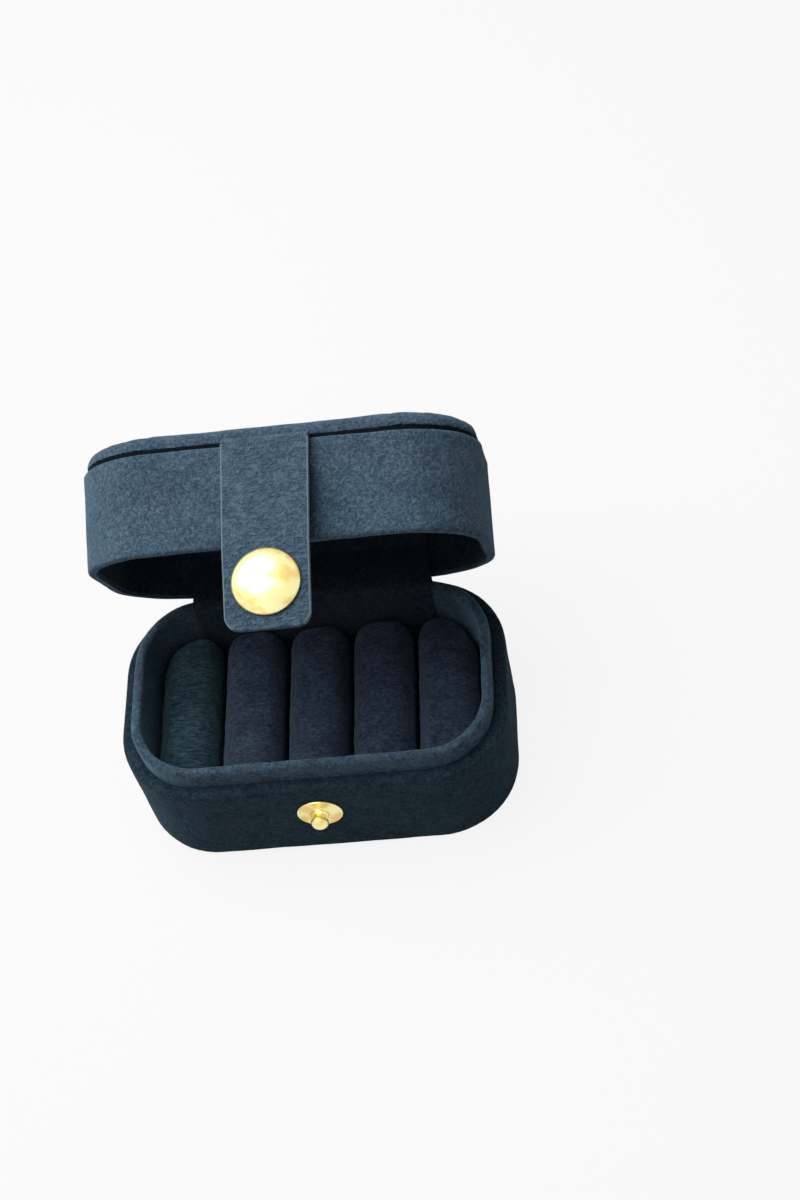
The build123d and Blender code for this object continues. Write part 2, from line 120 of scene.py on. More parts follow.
class RingBoxSizes(bpy.types.PropertyGroup):
    """Sizes of the box as it stands with its lid drawn shut."""

    width: length("Width", "Box from side to side", (shell_high.x - shell_low.x) / MM)
    depth: length("Depth", "Box from front to back", (shell_high.y - shell_low.y) / MM)
    corner: length("Corner radius", "Rounding of the box's upright corners", 19.5)
    base_height: length("Base height", "Level of the base's rim", shell_high.z / MM)
    base_foot: length("Suede foot", "Level where the suede turns under", shell_low.z / MM)
    bottom_edge: length("Bottom edge", "Rounding of the base's bottom edge", 2.2)
    turn_in: length("Turn in", "Width of suede glued under the base", 5.0)
    rim_gap: length("Rim gap", "Gap between the rims with the lid shut", 0.3)
    lid_height: length("Lid height", "Lid from its rim to its top", 27.6)
    lid_angle: FloatProperty(
        name="Lid angle",
        description="How far the lid stands open",
        default=radians(-joints["lid_hinge"]["range_deg"][0]),
        unit="ROTATION",
    )
    suede: length("Suede", "Thickness of the suede on the shells", 0.75)
    rim_edge: length("Rim edge", "Rounding of the suede over a rim", 0.8)
    base_rim: length("Base rim", "Width of the base's rim", 3.1)
    lid_rim: length("Lid rim", "Width of the lid's rim", 2.0)
    collar_inset: length("Collar inset", "Outside of the collar from the outline", 3.3)
    collar_foot: length("Collar foot", "Level of the collar's lower edge", collar_low.z / MM)
    collar_top: length("Collar top", "Level of the collar's upper edge", collar_high.z / MM)
    collar_width: length("Collar width", "Thickness of the padded collar", 2.3)
    collar_edge: length("Collar edge", "Rounding of the collar's upper edges", 1.1)
    roll_count: IntProperty(
        name="Rolls", description="Number of ring rolls", default=5, min=1, max=5
    )
    roll_width: length("Roll width", "Width of one ring roll", (roll_high.x - roll_low.x) / MM)
    roll_gap: length("Roll gap", "Slot between two rolls", 0.45)
    roll_end: length("Roll end", "Rounding of a roll's ends", 3.2)
    roll_shoulder: length("Roll shoulder", "Rounding along a roll's upper edges", 5.4)
    roll_slack: length("Roll slack", "How much smaller a roll starts before it is filled", 0.8)
    roll_swell: length("Roll swell", "How far the filling moves a roll's suede", 0.55)
    tray_inset: length("Tray inset", "Inside of the collar from the outline", 5.6)
    tray_room: length("Tray room", "Room between the rolls and the collar", 0.4)
    seam_height: length("Seam height", "Height of the groove under the top panel", 1.0)
    seam_depth: length("Seam depth", "Depth of the groove under the top panel", 1.2)
    seam_swell: length("Seam swell", "How far the padding swells down into the groove", 0.25)
    top_edge_height: length("Top panel edge", "Height of the padded top's side", 3.6)
    top_edge: length("Top edge", "Rounding of the padded top's upper edge", 2.3)
    top_lower_edge: length("Top lower edge", "Rounding of the padded top's lower edge", 0.9)
    top_slack: length(
        "Top slack", "How much smaller the padded top starts before it is filled", 0.35
    )
    crown: length("Crown", "Rise of the padded top's middle", 0.7)
    lining: length("Lining", "Thickness of the lid's lining", 0.6)
    ceiling: length("Ceiling pad", "Thickness of the padded ceiling", 2.0)
    ceiling_board: length("Ceiling board", "Thickness of the board over the pad", 1.2)
    ceiling_room: length("Ceiling room", "Room round the ceiling pad", 0.2)
    hinge_width: length("Hinge width", "Width of the fabric hinge", 57.8)
    outer_strip: length("Outer strip", "Thickness of the strip at the back", 0.8)
    inner_strip: length("Inner strip", "Thickness of the strip inside", 0.6)
    strip_room: length("Strip room", "Glue and nap between a strip and what it lies on", 0.25)
    hinge_leaf: length("Hinge leaf", "Height of the outer strip's leaves", 11.0)
    strip_corner: length("Strip corner", "Rounding of the hinge strips' corners", 2.5)
    inner_leaf: length("Inner leaf", "Length of the inner strip in the lid", 9.0)
    inner_rise: length("Inner rise", "Inner strip's start in the lid above the collar", 2.0)
    strap_start: length("Strap start", "Start of the strap's layers below its root", 0.9)
    post_hole: length("Post hole", "Radius of the hole for the snap's post", 2.65)
    strap_width: length("Strap width", "Width of the strap at the lid", 19.6)
    strap_end_width: length("Strap end width", "Width of the strap at its end", 18.6)
    strap_layer: length("Strap layer", "Thickness of each of the strap's layers", 0.8)
    edge_line: length("Edge line", "Width of the light line along the strap's cut edge", 0.38)
    strap_corner: length("Strap corner", "Rounding of the strap's end corners", 3.2)
    strap_tab: length("Strap tab", "Strap past the middle of the snap", 10.4)
    strap_off_wall: length("Strap off wall", "Strap's middle from the lid wall at the seam", 1.15)
    strap_bend: length("Strap bend", "Radius of the strap's bend", 30.0)
    strap_bend_drop: length("Strap bend drop", "Strap's bend below the lid's rim", 2.2)
    strap_lift: FloatProperty(
        name="Strap lift",
        description="How far the strap stands off the snapped place",
        default=radians(-joints["strap_hinge"]["range_deg"][0]),
        unit="ROTATION",
    )
    snap_drop: length("Snap drop", "Middle of the snap below the base's rim", 10.5)
    socket_face: length("Socket face", "Socket from the front wall when snapped", 0.85)
    socket_height: length("Socket height", "Height of the socket", 2.4)
    cap_radius: length("Cap radius", "Radius of the gold cap", 7.5)
    cap_height: length("Cap height", "Height of the gold cap", 3.3)
    cap_rim: length("Cap rim", "Height of the cap's rolled rim", 0.7)
    cap_lip: length("Cap lip", "Radius of the lip that is rolled in under the cap", 5.9)
    cap_sheet: length("Cap sheet", "Thickness of the cap's metal", 0.45)
    stud_flange: length("Stud flange", "Radius of the stud's flange", 5.4)
    stud_height: length("Stud height", "Height of the stud", 4.4)
    stud_dish: length("Stud dish", "Depth of the flange's dish", 0.35)
    stud_step: length("Stud step", "Height of the foot's straight side", 0.55)
    stud_foot: length("Stud foot", "Radius of the stud's flared foot", 2.1)
    stud_ball: length("Stud ball", "Radius of the stud's ball", 2.1)
    stud_neck: length("Stud neck", "Radius of the stud's neck", 1.45)


class RingBoxColours(bpy.types.PropertyGroup):
    """Colours of the suedes and of the metal."""

    lid: colour("Lid suede", "Suede of the lid", 0.044, 0.082, 0.122)
    lid_brushed: colour("Brushed lid", "Lid suede brushed the other way", 0.105, 0.165, 0.220)
    # Painted shade: the base wears the lid's suede, with its colours painted darker for the shade
    # on the base.
    base: colour("Base suede in painted shade", "Suede of the base", 0.008, 0.020, 0.030)
    base_brushed_painted_shade: colour("Brushed base", "Base suede in painted shade brushed the other way", 0.030, 0.056, 0.074)
    tinge: colour("Tinge", "Warmer patches in the lid's suede", 0.058, 0.066, 0.112)
    # Kept dark to sit in the darker suedes, of which the base's and the lining's darkness is
    # painted shade.
    dark_tinge: colour("Dark tinge", "Warmer patches in the darker suedes", 0.026, 0.024, 0.048)
    collar: colour("Collar suede", "Suede of the collar", 0.030, 0.054, 0.080)
    collar_brushed: colour(
        "Brushed collar", "Collar suede brushed the other way", 0.092, 0.150, 0.200
    )
    roll: colour("Roll suede", "Suede of the ring rolls", 0.022, 0.034, 0.056)
    roll_brushed: colour("Brushed roll", "Roll suede brushed the other way", 0.062, 0.088, 0.128)
    first_roll: colour(
        "First roll", "Suede of the first roll, whose nap lies across", 0.010, 0.028, 0.038
    )
    first_roll_brushed: colour(
        "Brushed first roll", "First roll brushed the other way", 0.052, 0.100, 0.120
    )
    # Painted shade: the lining is the lid's suede, painted near black for the shade inside the lid
    # and the hinge.
    lining: colour("Lining", "Lining of the lid and suede of the hinge", 0.014, 0.022, 0.030)
    lining_brushed_painted_shade: colour("Brushed lining", "Lining brushed the other way", 0.046, 0.064, 0.078)
    strap: colour("Strap", "Grained suede of the strap", 0.026, 0.052, 0.082)
    # Partly painted light: lighter ridges, with painted shade in the creases, over the strap's own
    # grain tone.
    strap_lit_ridge_and_grain: colour("Strap grain", "Strap grain with painted light on its ridges", 0.096, 0.158, 0.225)
    cut_edge: colour("Cut edge", "Cut edge of the strap's layers", 0.150, 0.210, 0.245)
    gold: colour("Gold", "Plating of the snap", 0.940, 0.860, 0.420)
    # Painted reflection: amber patches that stand in for the cap's blotchy reflection.
    gold_amber_reflection: colour("Amber gold reflection", "Amber patches of painted reflection in the plating", 0.800, 0.590, 0.210)
    # Painted shade: the boards seen in the groove under the top panel are painted near black.
    seam: colour("Seam", "Board in the seam, painted as its shade", 0.006, 0.008, 0.011)
    board: colour("Board", "Grey board inside the shells", 0.130, 0.125, 0.115)
    foam: colour("Foam", "Foam sheet under the tray", 0.520, 0.500, 0.460)
    foam_cut: colour("Cut foam", "Open cells of the foam", 0.680, 0.660, 0.620)
    steel: colour("Steel", "Spring wire", 0.560, 0.560, 0.550)
    floor: colour("Floor", "Floor that the box stands on", 0.550, 0.550, 0.550)


# ------------------------------------------------------------------ steps of modelling
def drop_selection():
    """Leaves nothing selected, so that the next step acts on its own piece alone."""
    if bpy.context.mode != "OBJECT":
        bpy.ops.object.mode_set(mode="OBJECT")
    bpy.ops.object.select_all(action="DESELECT")


def take(piece):
    """Makes one piece the only one selected."""
    drop_selection()
    piece.select_set(True)
    bpy.context.view_layer.objects.active = piece


def start_edit(piece):
    """Opens one piece in edit mode."""
    take(piece)
    bpy.ops.object.mode_set(mode="EDIT")


def end_edit():
    """Closes edit mode."""
    bpy.ops.object.mode_set(mode="OBJECT")


def pick(kind, test):
    """Selects the vertices, edges or faces in edit mode that pass a test."""
    bpy.ops.mesh.select_mode(type=kind)
    bpy.ops.mesh.select_all(action="DESELECT")
    form = bmesh.from_edit_mesh(bpy.context.object.data)
    parts = {"VERT": form.verts, "EDGE": form.edges, "FACE": form.faces}[kind]
    found = [part for part in parts if test(part)]
    for part in found:
        part.select_set(True)
    bmesh.update_edit_mesh(bpy.context.object.data)
    if not found:
        raise RuntimeError(f"nothing to pick on {bpy.context.object.name}")


def spans(edge, axis, least):
    """Whether an edge runs along an axis for at least this far."""
    run = edge.verts[1].co - edge.verts[0].co
    return abs(run[axis]) >= least and abs(run[axis]) > 0.99 * run.length


def on_level(edge, level):
    """Whether both ends of an edge lie on a level."""
    return all(abs(vertex.co.z - level) < 0.02 * MM for vertex in edge.verts)


def divide(axis, step):
    """Cuts every long straight edge along an axis into steps of about this length."""
    while True:
        form = bmesh.from_edit_mesh(bpy.context.object.data)
        runs = [edge.calc_length() for edge in form.edges if spans(edge, axis, 2 * step)]
        if not runs:
            return
        longest = max(runs)
        pick("EDGE", lambda edge: spans(edge, axis, 0.97 * longest))
        bpy.ops.mesh.subdivide(number_cuts=max(1, round(longest / step) - 1))


def divide_all(step, axes=(0, 1, 2)):
    """Divides along each of these axes in turn."""
    for axis in axes:
        divide(axis, step)


def named(name):
    """The piece that the last step made, with its name."""
    piece = bpy.context.object
    piece.name = piece.data.name = name
    return piece


def paint(piece, material):
    """Leaves a piece with one material."""
    piece.data.materials.clear()
    piece.data.materials.append(material)


def apply_modifier(piece, kind, **settings):
    """Adds a modifier and applies it to the mesh."""
    take(piece)
    modifier = piece.modifiers.new(kind.title(), kind)
    for name, value in settings.items():
        setattr(modifier, name, value)
    bpy.ops.object.modifier_apply(modifier=modifier.name)


def soften_edges(piece, width, sharp):
    """Bevels the edges of a fabric layer that are sharper than an angle in degrees."""
    apply_modifier(
        piece, "BEVEL", width=width, segments=2, limit_method="ANGLE", angle_limit=radians(sharp)
    )


def settle(piece, place=None, smooth=35.0):
    """Moves a finished mesh to its place with its object left at the origin, and shades it."""
    take(piece)
    if place is not None:
        piece.matrix_world = place
    bpy.ops.object.transform_apply(location=True, rotation=True, scale=True)
    bpy.ops.object.shade_smooth_by_angle(angle=radians(smooth))
    return piece


def ripple(piece, size, height, shift=0.0):
    """Moves the surface in and out along its normals in soft folds of this size and height."""
    mesh = piece.data
    moves = []
    for vertex in mesh.vertices:
        across, along, level = (vertex.co[axis] / size[axis] for axis in range(3))
        place = Vector((across, along, level + shift))
        moves.append(vertex.normal * (noise.fractal(place, 0.8, 2.1, 3) * height))
    for vertex, move in zip(mesh.vertices, moves):
        vertex.co += move
    mesh.update()


def fill_pad(piece, voxel, pressure, reach, held):
    """Fills a closed pad by cloth simulation, with the side that it lies on held."""
    take(piece)
    piece.scale = (CLOTH_SCALE, CLOTH_SCALE, CLOTH_SCALE)
    bpy.ops.object.transform_apply(location=True, rotation=True, scale=True)
    apply_modifier(piece, "REMESH", mode="VOXEL", voxel_size=voxel * CLOTH_SCALE)
    mesh = piece.data
    seat = piece.vertex_groups.new(name="held")
    flat = [vertex.index for vertex in mesh.vertices if vertex.normal.z * held > 0.8]
    seat.add(flat, 1.0, "REPLACE")
    start = [vertex.co.copy() for vertex in mesh.vertices]
    cloth = piece.modifiers.new("Cloth", "CLOTH")
    fabric = cloth.settings
    fabric.quality = 6
    fabric.mass = 0.3
    fabric.tension_stiffness = fabric.compression_stiffness = 8.0
    fabric.shear_stiffness = 4.0
    fabric.bending_stiffness = 0.3
    fabric.use_pressure = True
    fabric.uniform_pressure_force = pressure
    fabric.vertex_group_mass = "held"
    fabric.effector_weights.gravity = 0.0
    cloth.collision_settings.use_collision = False
    cloth.point_cache.frame_end = CLOTH_FRAMES
    for number in range(1, CLOTH_FRAMES + 1):
        bpy.context.scene.frame_set(number)
    bpy.ops.object.modifier_apply(modifier=cloth.name)
    piece.vertex_groups.clear()
    for vertex, place in zip(piece.data.vertices, start):
        move = vertex.co - place
        limit = reach * CLOTH_SCALE
        if move.length > limit:
            vertex.co = place + move.normalized() * limit
    bpy.context.scene.frame_set(1)
    piece.scale = (1 / CLOTH_SCALE, 1 / CLOTH_SCALE, 1 / CLOTH_SCALE)
    bpy.ops.object.transform_apply(location=True, rotation=True, scale=True)
    apply_modifier(piece, "SMOOTH", factor=0.5, iterations=2)
    apply_modifier(piece, "SUBSURF", levels=1, render_levels=1)


def sizes():
    """The sizes set in the panel."""
    return bpy.context.scene.ring_box_sizes


def colours():
    """The colours set in the panel."""
    return bpy.context.scene.ring_box_colours


def outline_block(name, inset, low, high, segments=14):
    """A block of the box's outline, moved in by inset, with its upright edges bevelled round."""
    box = sizes()
    width, depth = box.width - 2 * inset, box.depth - 2 * inset
    drop_selection()
    bpy.ops.mesh.primitive_cube_add(
        size=1.0, location=(0.0, 0.0, (low + high) / 2), scale=(width, depth, high - low)
    )
    piece = named(name)
    bpy.ops.object.transform_apply(location=True, rotation=True, scale=True)
    bpy.ops.object.mode_set(mode="EDIT")
    pick("EDGE", lambda edge: spans(edge, 2, 0.9 * (high - low)))
    bpy.ops.mesh.bevel(offset=box.corner - inset, segments=segments, affect="EDGES")
    return piece


def inset_end(upward, amount):
    """Insets the top or bottom face and leaves the inner face selected."""
    pick("FACE", lambda face: face.normal.z * upward > 0.9 and len(face.verts) > 8)
    bpy.ops.mesh.inset(thickness=amount, depth=0.0)


def open_end(upward, amount):
    """Opens the top or bottom inside a border of this width."""
    inset_end(upward, amount)
    bpy.ops.mesh.delete(type="FACE")


def off_outline(place, inset):
    """How far a point stands outside the outline moved in by inset, negative where it is inside."""
    box = sizes()
    corner = box.corner - inset
    past_x = abs(place.x) - (box.width / 2 - box.corner)
    past_y = abs(place.y) - (box.depth / 2 - box.corner)
    return hypot(max(past_x, 0.0), max(past_y, 0.0)) + min(max(past_x, past_y), 0.0) - corner


def round_level(level, inset, radius, segments):
    """Bevels the edges on a level that lie on the outline moved in by inset."""

    def on_outline(edge):
        near = [abs(off_outline(vertex.co, inset)) < 0.05 * MM for vertex in edge.verts]
        return on_level(edge, level) and all(near)

    pick("EDGE", on_outline)
    bpy.ops.mesh.bevel(offset=radius, segments=segments, affect="EDGES")


def lid_turn():
    """Turns what is drawn with the lid shut to where the open lid holds it."""
    swing = Matrix.Rotation(-sizes().lid_angle, 4, "X")
    return Matrix.Translation(lid_hinge) @ swing @ Matrix.Translation(-lid_hinge)


def lid_levels():
    """Levels of the shut lid: rim, seam, underside and top of the padded panel."""
    box = sizes()
    rim = box.base_height + box.rim_gap
    top = rim + box.lid_height
    panel = top - box.top_edge_height
    return rim, panel - box.seam_height, panel, top


def root_level():
    """Level of the strap's root on the shut lid, in the middle of the seam."""
    _, seam, panel, _ = lid_levels()
    return (seam + panel) / 2


def strap_turn():
    """Turns what is drawn on the strap to where the lifted strap holds it."""
    box = sizes()
    root = Vector((0.0, -box.depth / 2 - box.strap_off_wall, root_level()))
    return lid_turn() @ Matrix.Translation(root) @ Matrix.Rotation(-box.strap_lift, 4, "X")


def snap_on_strap():
    """Place of the snap's axis on the strap, with its height measured outwards."""
    box = sizes()
    drop = root_level() - (box.base_height - box.snap_drop)
    place = Matrix.Translation((0.0, box.strap_off_wall, -drop))
    return strap_turn() @ place @ Matrix.Rotation(pi / 2, 4, "X")


def snap_on_base():
    """Place of the snap's axis on the front wall, with its height measured outwards."""
    box = sizes()
    place = Matrix.Translation((0.0, -box.depth / 2, box.base_height - box.snap_drop))
    return place @ Matrix.Rotation(pi / 2, 4, "X")


def arc(centre, radius, start, end, steps):
    """Points on a drawn arc, from one angle to another in degrees."""
    points = []
    for step in range(steps + 1):
        angle = radians(start + (end - start) * step / steps)
        points.append((centre[0] + radius * cos(angle), centre[1] + radius * sin(angle)))
    return points


def turned(name, profile, steps=72):
    """A round piece spun in edit mode from points of radius and height."""
    drop_selection()
    bpy.ops.mesh.primitive_plane_add(size=MM, location=(0.0, 0.0, 0.0))
    piece = named(name)
    bpy.ops.object.mode_set(mode="EDIT")
    bpy.ops.mesh.select_all(action="SELECT")
    bpy.ops.mesh.merge(type="CENTER")
    bpy.ops.mesh.select_mode(type="VERT")
    bpy.ops.mesh.select_all(action="SELECT")
    bpy.ops.transform.translate(value=(profile[0][0], 0.0, profile[0][1]))
    for last, point in zip(profile, profile[1:]):
        step = (point[0] - last[0], 0.0, point[1] - last[1])
        bpy.ops.mesh.extrude_vertices_move(TRANSFORM_OT_translate={"value": step})
    bpy.ops.mesh.select_all(action="SELECT")
    bpy.ops.mesh.spin(steps=steps, angle=2 * pi, center=(0.0, 0.0, 0.0), axis=(0.0, 0.0, 1.0))
    bpy.ops.mesh.select_all(action="SELECT")
    bpy.ops.mesh.remove_doubles(threshold=0.002 * MM)
    bpy.ops.mesh.normals_make_consistent(inside=False)
    end_edit()
    return piece


# ------------------------------------------------------------------ materials
def new_group(name, inputs, outputs):
    """A node group with named sockets, or the one already made."""
    if name in bpy.data.node_groups:
        return bpy.data.node_groups[name], None, None
    group = bpy.data.node_groups.new(name, "ShaderNodeTree")
    for label, kind, default in inputs:
        socket = group.interface.new_socket(name=label, in_out="INPUT", socket_type=kind)
        socket.default_value = default
    for label, kind in outputs:
        group.interface.new_socket(name=label, in_out="OUTPUT", socket_type=kind)
    start = group.nodes.new("NodeGroupInput")
    start.location = (-900, 0)
    end = group.nodes.new("NodeGroupOutput")
    end.location = (900, 0)
    return group, start, end


def add_node(tree, kind, place, operation=None, **values):
    """A node at a place in the tree, with its operation and unlinked values."""
    made = tree.nodes.new(kind)
    made.location = place
    if operation is not None:
        made.operation = operation
    for name, value in values.items():
        made.inputs[name].default_value = value
    return made


def object_millimetres(group):
    """Coordinates of the object itself in a pattern group, in millimetres."""
    coordinates = add_node(group, "ShaderNodeTexCoord", (-1100, -300))
    scaled = add_node(group, "ShaderNodeVectorMath", (-900, -300), operation="SCALE")
    scaled.inputs["Scale"].default_value = 1 / MM
    group.links.new(coordinates.outputs["Object"], scaled.inputs[0])
    return scaled.outputs[0]


def maths(tree, place, operation, first, second=0.5, clamp=False):
    """A Math node whose inputs are sockets or numbers."""
    made = tree.nodes.new("ShaderNodeMath")
    made.location = place
    made.operation = operation
    made.use_clamp = clamp
    for socket, value in zip(made.inputs, (first, second)):
        if isinstance(value, (int, float)):
            socket.default_value = value
        else:
            tree.links.new(value, socket)
    return made.outputs[0]


def blend_colour(tree, place, share, first, second, mode="MIX"):
    """A colour Mix node whose inputs are sockets or colours."""
    made = tree.nodes.new("ShaderNodeMix")
    made.location = place
    made.data_type = "RGBA"
    made.blend_type = mode
    for number, value in ((0, share), (6, first), (7, second)):
        socket = made.inputs[number]
        if isinstance(value, (int, float, tuple)):
            socket.default_value = value
        else:
            tree.links.new(value, socket)
    return made.outputs[2]


def spread(tree, place, value, low, high, out_low=0.0, out_high=1.0):
    """A Map Range node that stretches a value to a wider range."""
    made = tree.nodes.new("ShaderNodeMapRange")
    made.location = place
    made.interpolation_type = "SMOOTHSTEP"
    tree.links.new(value, made.inputs["Value"])
    ends = {"From Min": low, "From Max": high, "To Min": out_low, "To Max": out_high}
    for name, number in ends.items():
        made.inputs[name].default_value = number
    return made.outputs["Result"]


def noise_at(tree, place, vector, per_size, detail=3.0, roughness=0.55, distortion=0.0):
    """A Noise texture whose scale comes from a size in millimetres."""
    made = add_node(tree, "ShaderNodeTexNoise", place, Detail=detail, Roughness=roughness)
    made.inputs["Distortion"].default_value = distortion
    tree.links.new(vector, made.inputs["Vector"])
    tree.links.new(per_size, made.inputs["Scale"])
    return made.outputs["Fac"]


def suede_nap():
    """Short nap: brushed patches, speckled grain and strokes, with sizes in millimetres."""
    group, start, end = new_group(
        "Suede nap",
        (
            ("Colour", "NodeSocketColor", (0.05, 0.08, 0.12, 1.0)),
            ("Brushed colour", "NodeSocketColor", (0.08, 0.12, 0.16, 1.0)),
            ("Tinge", "NodeSocketColor", (0.06, 0.06, 0.10, 1.0)),
            ("Patch size", "NodeSocketFloat", 7.0),
            ("Grain size", "NodeSocketFloat", 0.35),
            ("Stroke stretch", "NodeSocketVector", (1.0, 1.0, 1.0)),
            ("Grain contrast", "NodeSocketFloat", 0.5),
        ),
        PATTERN_OUTPUTS,
    )
    if start is None:
        return group
    plain = object_millimetres(group)
    stretched = add_node(group, "ShaderNodeVectorMath", (-720, -420), operation="MULTIPLY")
    group.links.new(plain, stretched.inputs[0])
    group.links.new(start.outputs["Stroke stretch"], stretched.inputs[1])
    drawn = stretched.outputs[0]
    patch_scale = maths(group, (-720, 260), "DIVIDE", 1.0, start.outputs["Patch size"])
    grain_scale = maths(group, (-720, 100), "DIVIDE", 1.0, start.outputs["Grain size"])
    stroke_scale = maths(group, (-540, 60), "MULTIPLY", grain_scale, 0.55)
    tinge_scale = maths(group, (-540, 420), "MULTIPLY", patch_scale, 0.45)
    tinge = noise_at(group, (-340, 520), plain, tinge_scale, 3.0, 0.55, 0.6)
    patches = noise_at(group, (-340, 260), plain, patch_scale, 4.0, 0.6, 0.8)
    strokes = noise_at(group, (-340, -40), drawn, stroke_scale, 4.0, 0.7, 0.5)
    grain = noise_at(group, (-340, -320), drawn, grain_scale, 2.0, 0.7)
    tinge_mask = spread(group, (-140, 520), tinge, 0.46, 0.70)
    patch_mask = spread(group, (-140, 260), patches, 0.34, 0.68)
    stroke_mask = spread(group, (-140, -40), strokes, 0.36, 0.66)
    grain_mask = spread(group, (-140, -320), grain, 0.38, 0.64)
    tinge_share = maths(group, (40, 520), "MULTIPLY", tinge_mask, 0.55)
    ground = blend_colour(
        group, (240, 420), tinge_share, start.outputs["Colour"], start.outputs["Tinge"]
    )
    brushed = maths(group, (240, 160), "MULTIPLY_ADD", patch_mask, 0.38)
    group.links.new(maths(group, (60, 0), "MULTIPLY", stroke_mask, 0.62), brushed.node.inputs[2])
    napped = blend_colour(group, (440, 240), brushed, ground, start.outputs["Brushed colour"])
    pits = maths(group, (240, -60), "SUBTRACT", 1.0, grain_mask)
    pits = maths(group, (440, -60), "MULTIPLY", pits, start.outputs["Grain contrast"])
    shaded = blend_colour(group, (660, 240), pits, napped, (0.26, 0.30, 0.36, 1.0), "MULTIPLY")
    group.links.new(shaded, end.inputs["Colour"])
    roughness = spread(group, (440, -240), grain_mask, 0.0, 1.0, 0.98, 0.82)
    group.links.new(roughness, end.inputs["Roughness"])
    height = maths(group, (660, -420), "MULTIPLY_ADD", grain_mask, 0.5)
    group.links.new(maths(group, (440, -420), "MULTIPLY", stroke_mask, 0.7), height.node.inputs[2])
    group.links.new(height, end.inputs["Height"])
    return group


def pebbled_grain():
    """Creased grain: short raised ridges with creases between, sizes in millimetres. The ridges are
    painted lighter and the creases darker, painted light and painted shade over the grain's own
    tone.
    """
    group, start, end = new_group(
        "Pebbled grain",
        (
            ("Colour", "NodeSocketColor", (0.05, 0.08, 0.12, 1.0)),
            ("Raised colour", "NodeSocketColor", (0.09, 0.13, 0.17, 1.0)),
            ("Ridge size", "NodeSocketFloat", 1.0),
            ("Ridge stretch", "NodeSocketVector", (0.6, 1.0, 1.0)),
            ("Crease depth", "NodeSocketFloat", 0.6),
        ),
        PATTERN_OUTPUTS,
    )
    if start is None:
        return group
    plain = object_millimetres(group)
    warp = add_node(group, "ShaderNodeTexNoise", (-740, -520), Scale=0.25, Detail=2.0)
    group.links.new(plain, warp.inputs["Vector"])
    warped = add_node(group, "ShaderNodeVectorMath", (-560, -400), operation="MULTIPLY_ADD")
    warped.inputs[1].default_value = (2.5, 2.5, 2.5)
    group.links.new(warp.outputs["Color"], warped.inputs[0])
    group.links.new(plain, warped.inputs[2])
    stretched = add_node(group, "ShaderNodeVectorMath", (-380, -400), operation="MULTIPLY")
    group.links.new(warped.outputs[0], stretched.inputs[0])
    group.links.new(start.outputs["Ridge stretch"], stretched.inputs[1])
    drawn = stretched.outputs[0]
    scale = maths(group, (-560, 60), "DIVIDE", 1.0, start.outputs["Ridge size"])
    ridges = noise_at(group, (-180, 160), drawn, scale, 3.0, 0.6, 0.35)
    raised = spread(group, (320, 160), ridges, 0.36, 0.62)
    fine_scale = maths(group, (-380, -60), "MULTIPLY", scale, 2.3)
    fine = noise_at(group, (-180, -120), plain, fine_scale, 2.0, 0.6)
    fine_mask = spread(group, (0, -120), fine, 0.38, 0.64)
    patch_scale = maths(group, (-380, -220), "MULTIPLY", scale, 0.16)
    patches = noise_at(group, (-180, -440), plain, patch_scale, 3.0, 0.6)
    patch_mask = spread(group, (0, -440), patches, 0.36, 0.66)
    # The ridge mask paints light on the ridges and shade in the creases; the fine and patch masks
    # are the grain's own tone.
    light = maths(group, (480, 60), "MULTIPLY_ADD", raised, 0.42)
    group.links.new(maths(group, (320, -60), "MULTIPLY", fine_mask, 0.38), light.node.inputs[2])
    lighter = maths(group, (640, 60), "MULTIPLY_ADD", patch_mask, 0.20)
    group.links.new(light, lighter.node.inputs[2])
    tinted = blend_colour(
        group, (700, 300), lighter, start.outputs["Colour"], start.outputs["Raised colour"]
    )
    group.links.new(tinted, end.inputs["Colour"])
    roughness = spread(group, (640, -120), raised, 0.0, 1.0, 0.96, 0.80)
    group.links.new(roughness, end.inputs["Roughness"])
    relief = maths(group, (480, -300), "MULTIPLY", raised, start.outputs["Crease depth"])
    height = maths(group, (660, -300), "MULTIPLY_ADD", fine_mask, 0.45)
    group.links.new(relief, height.node.inputs[2])
    group.links.new(height, end.inputs["Height"])
    return group


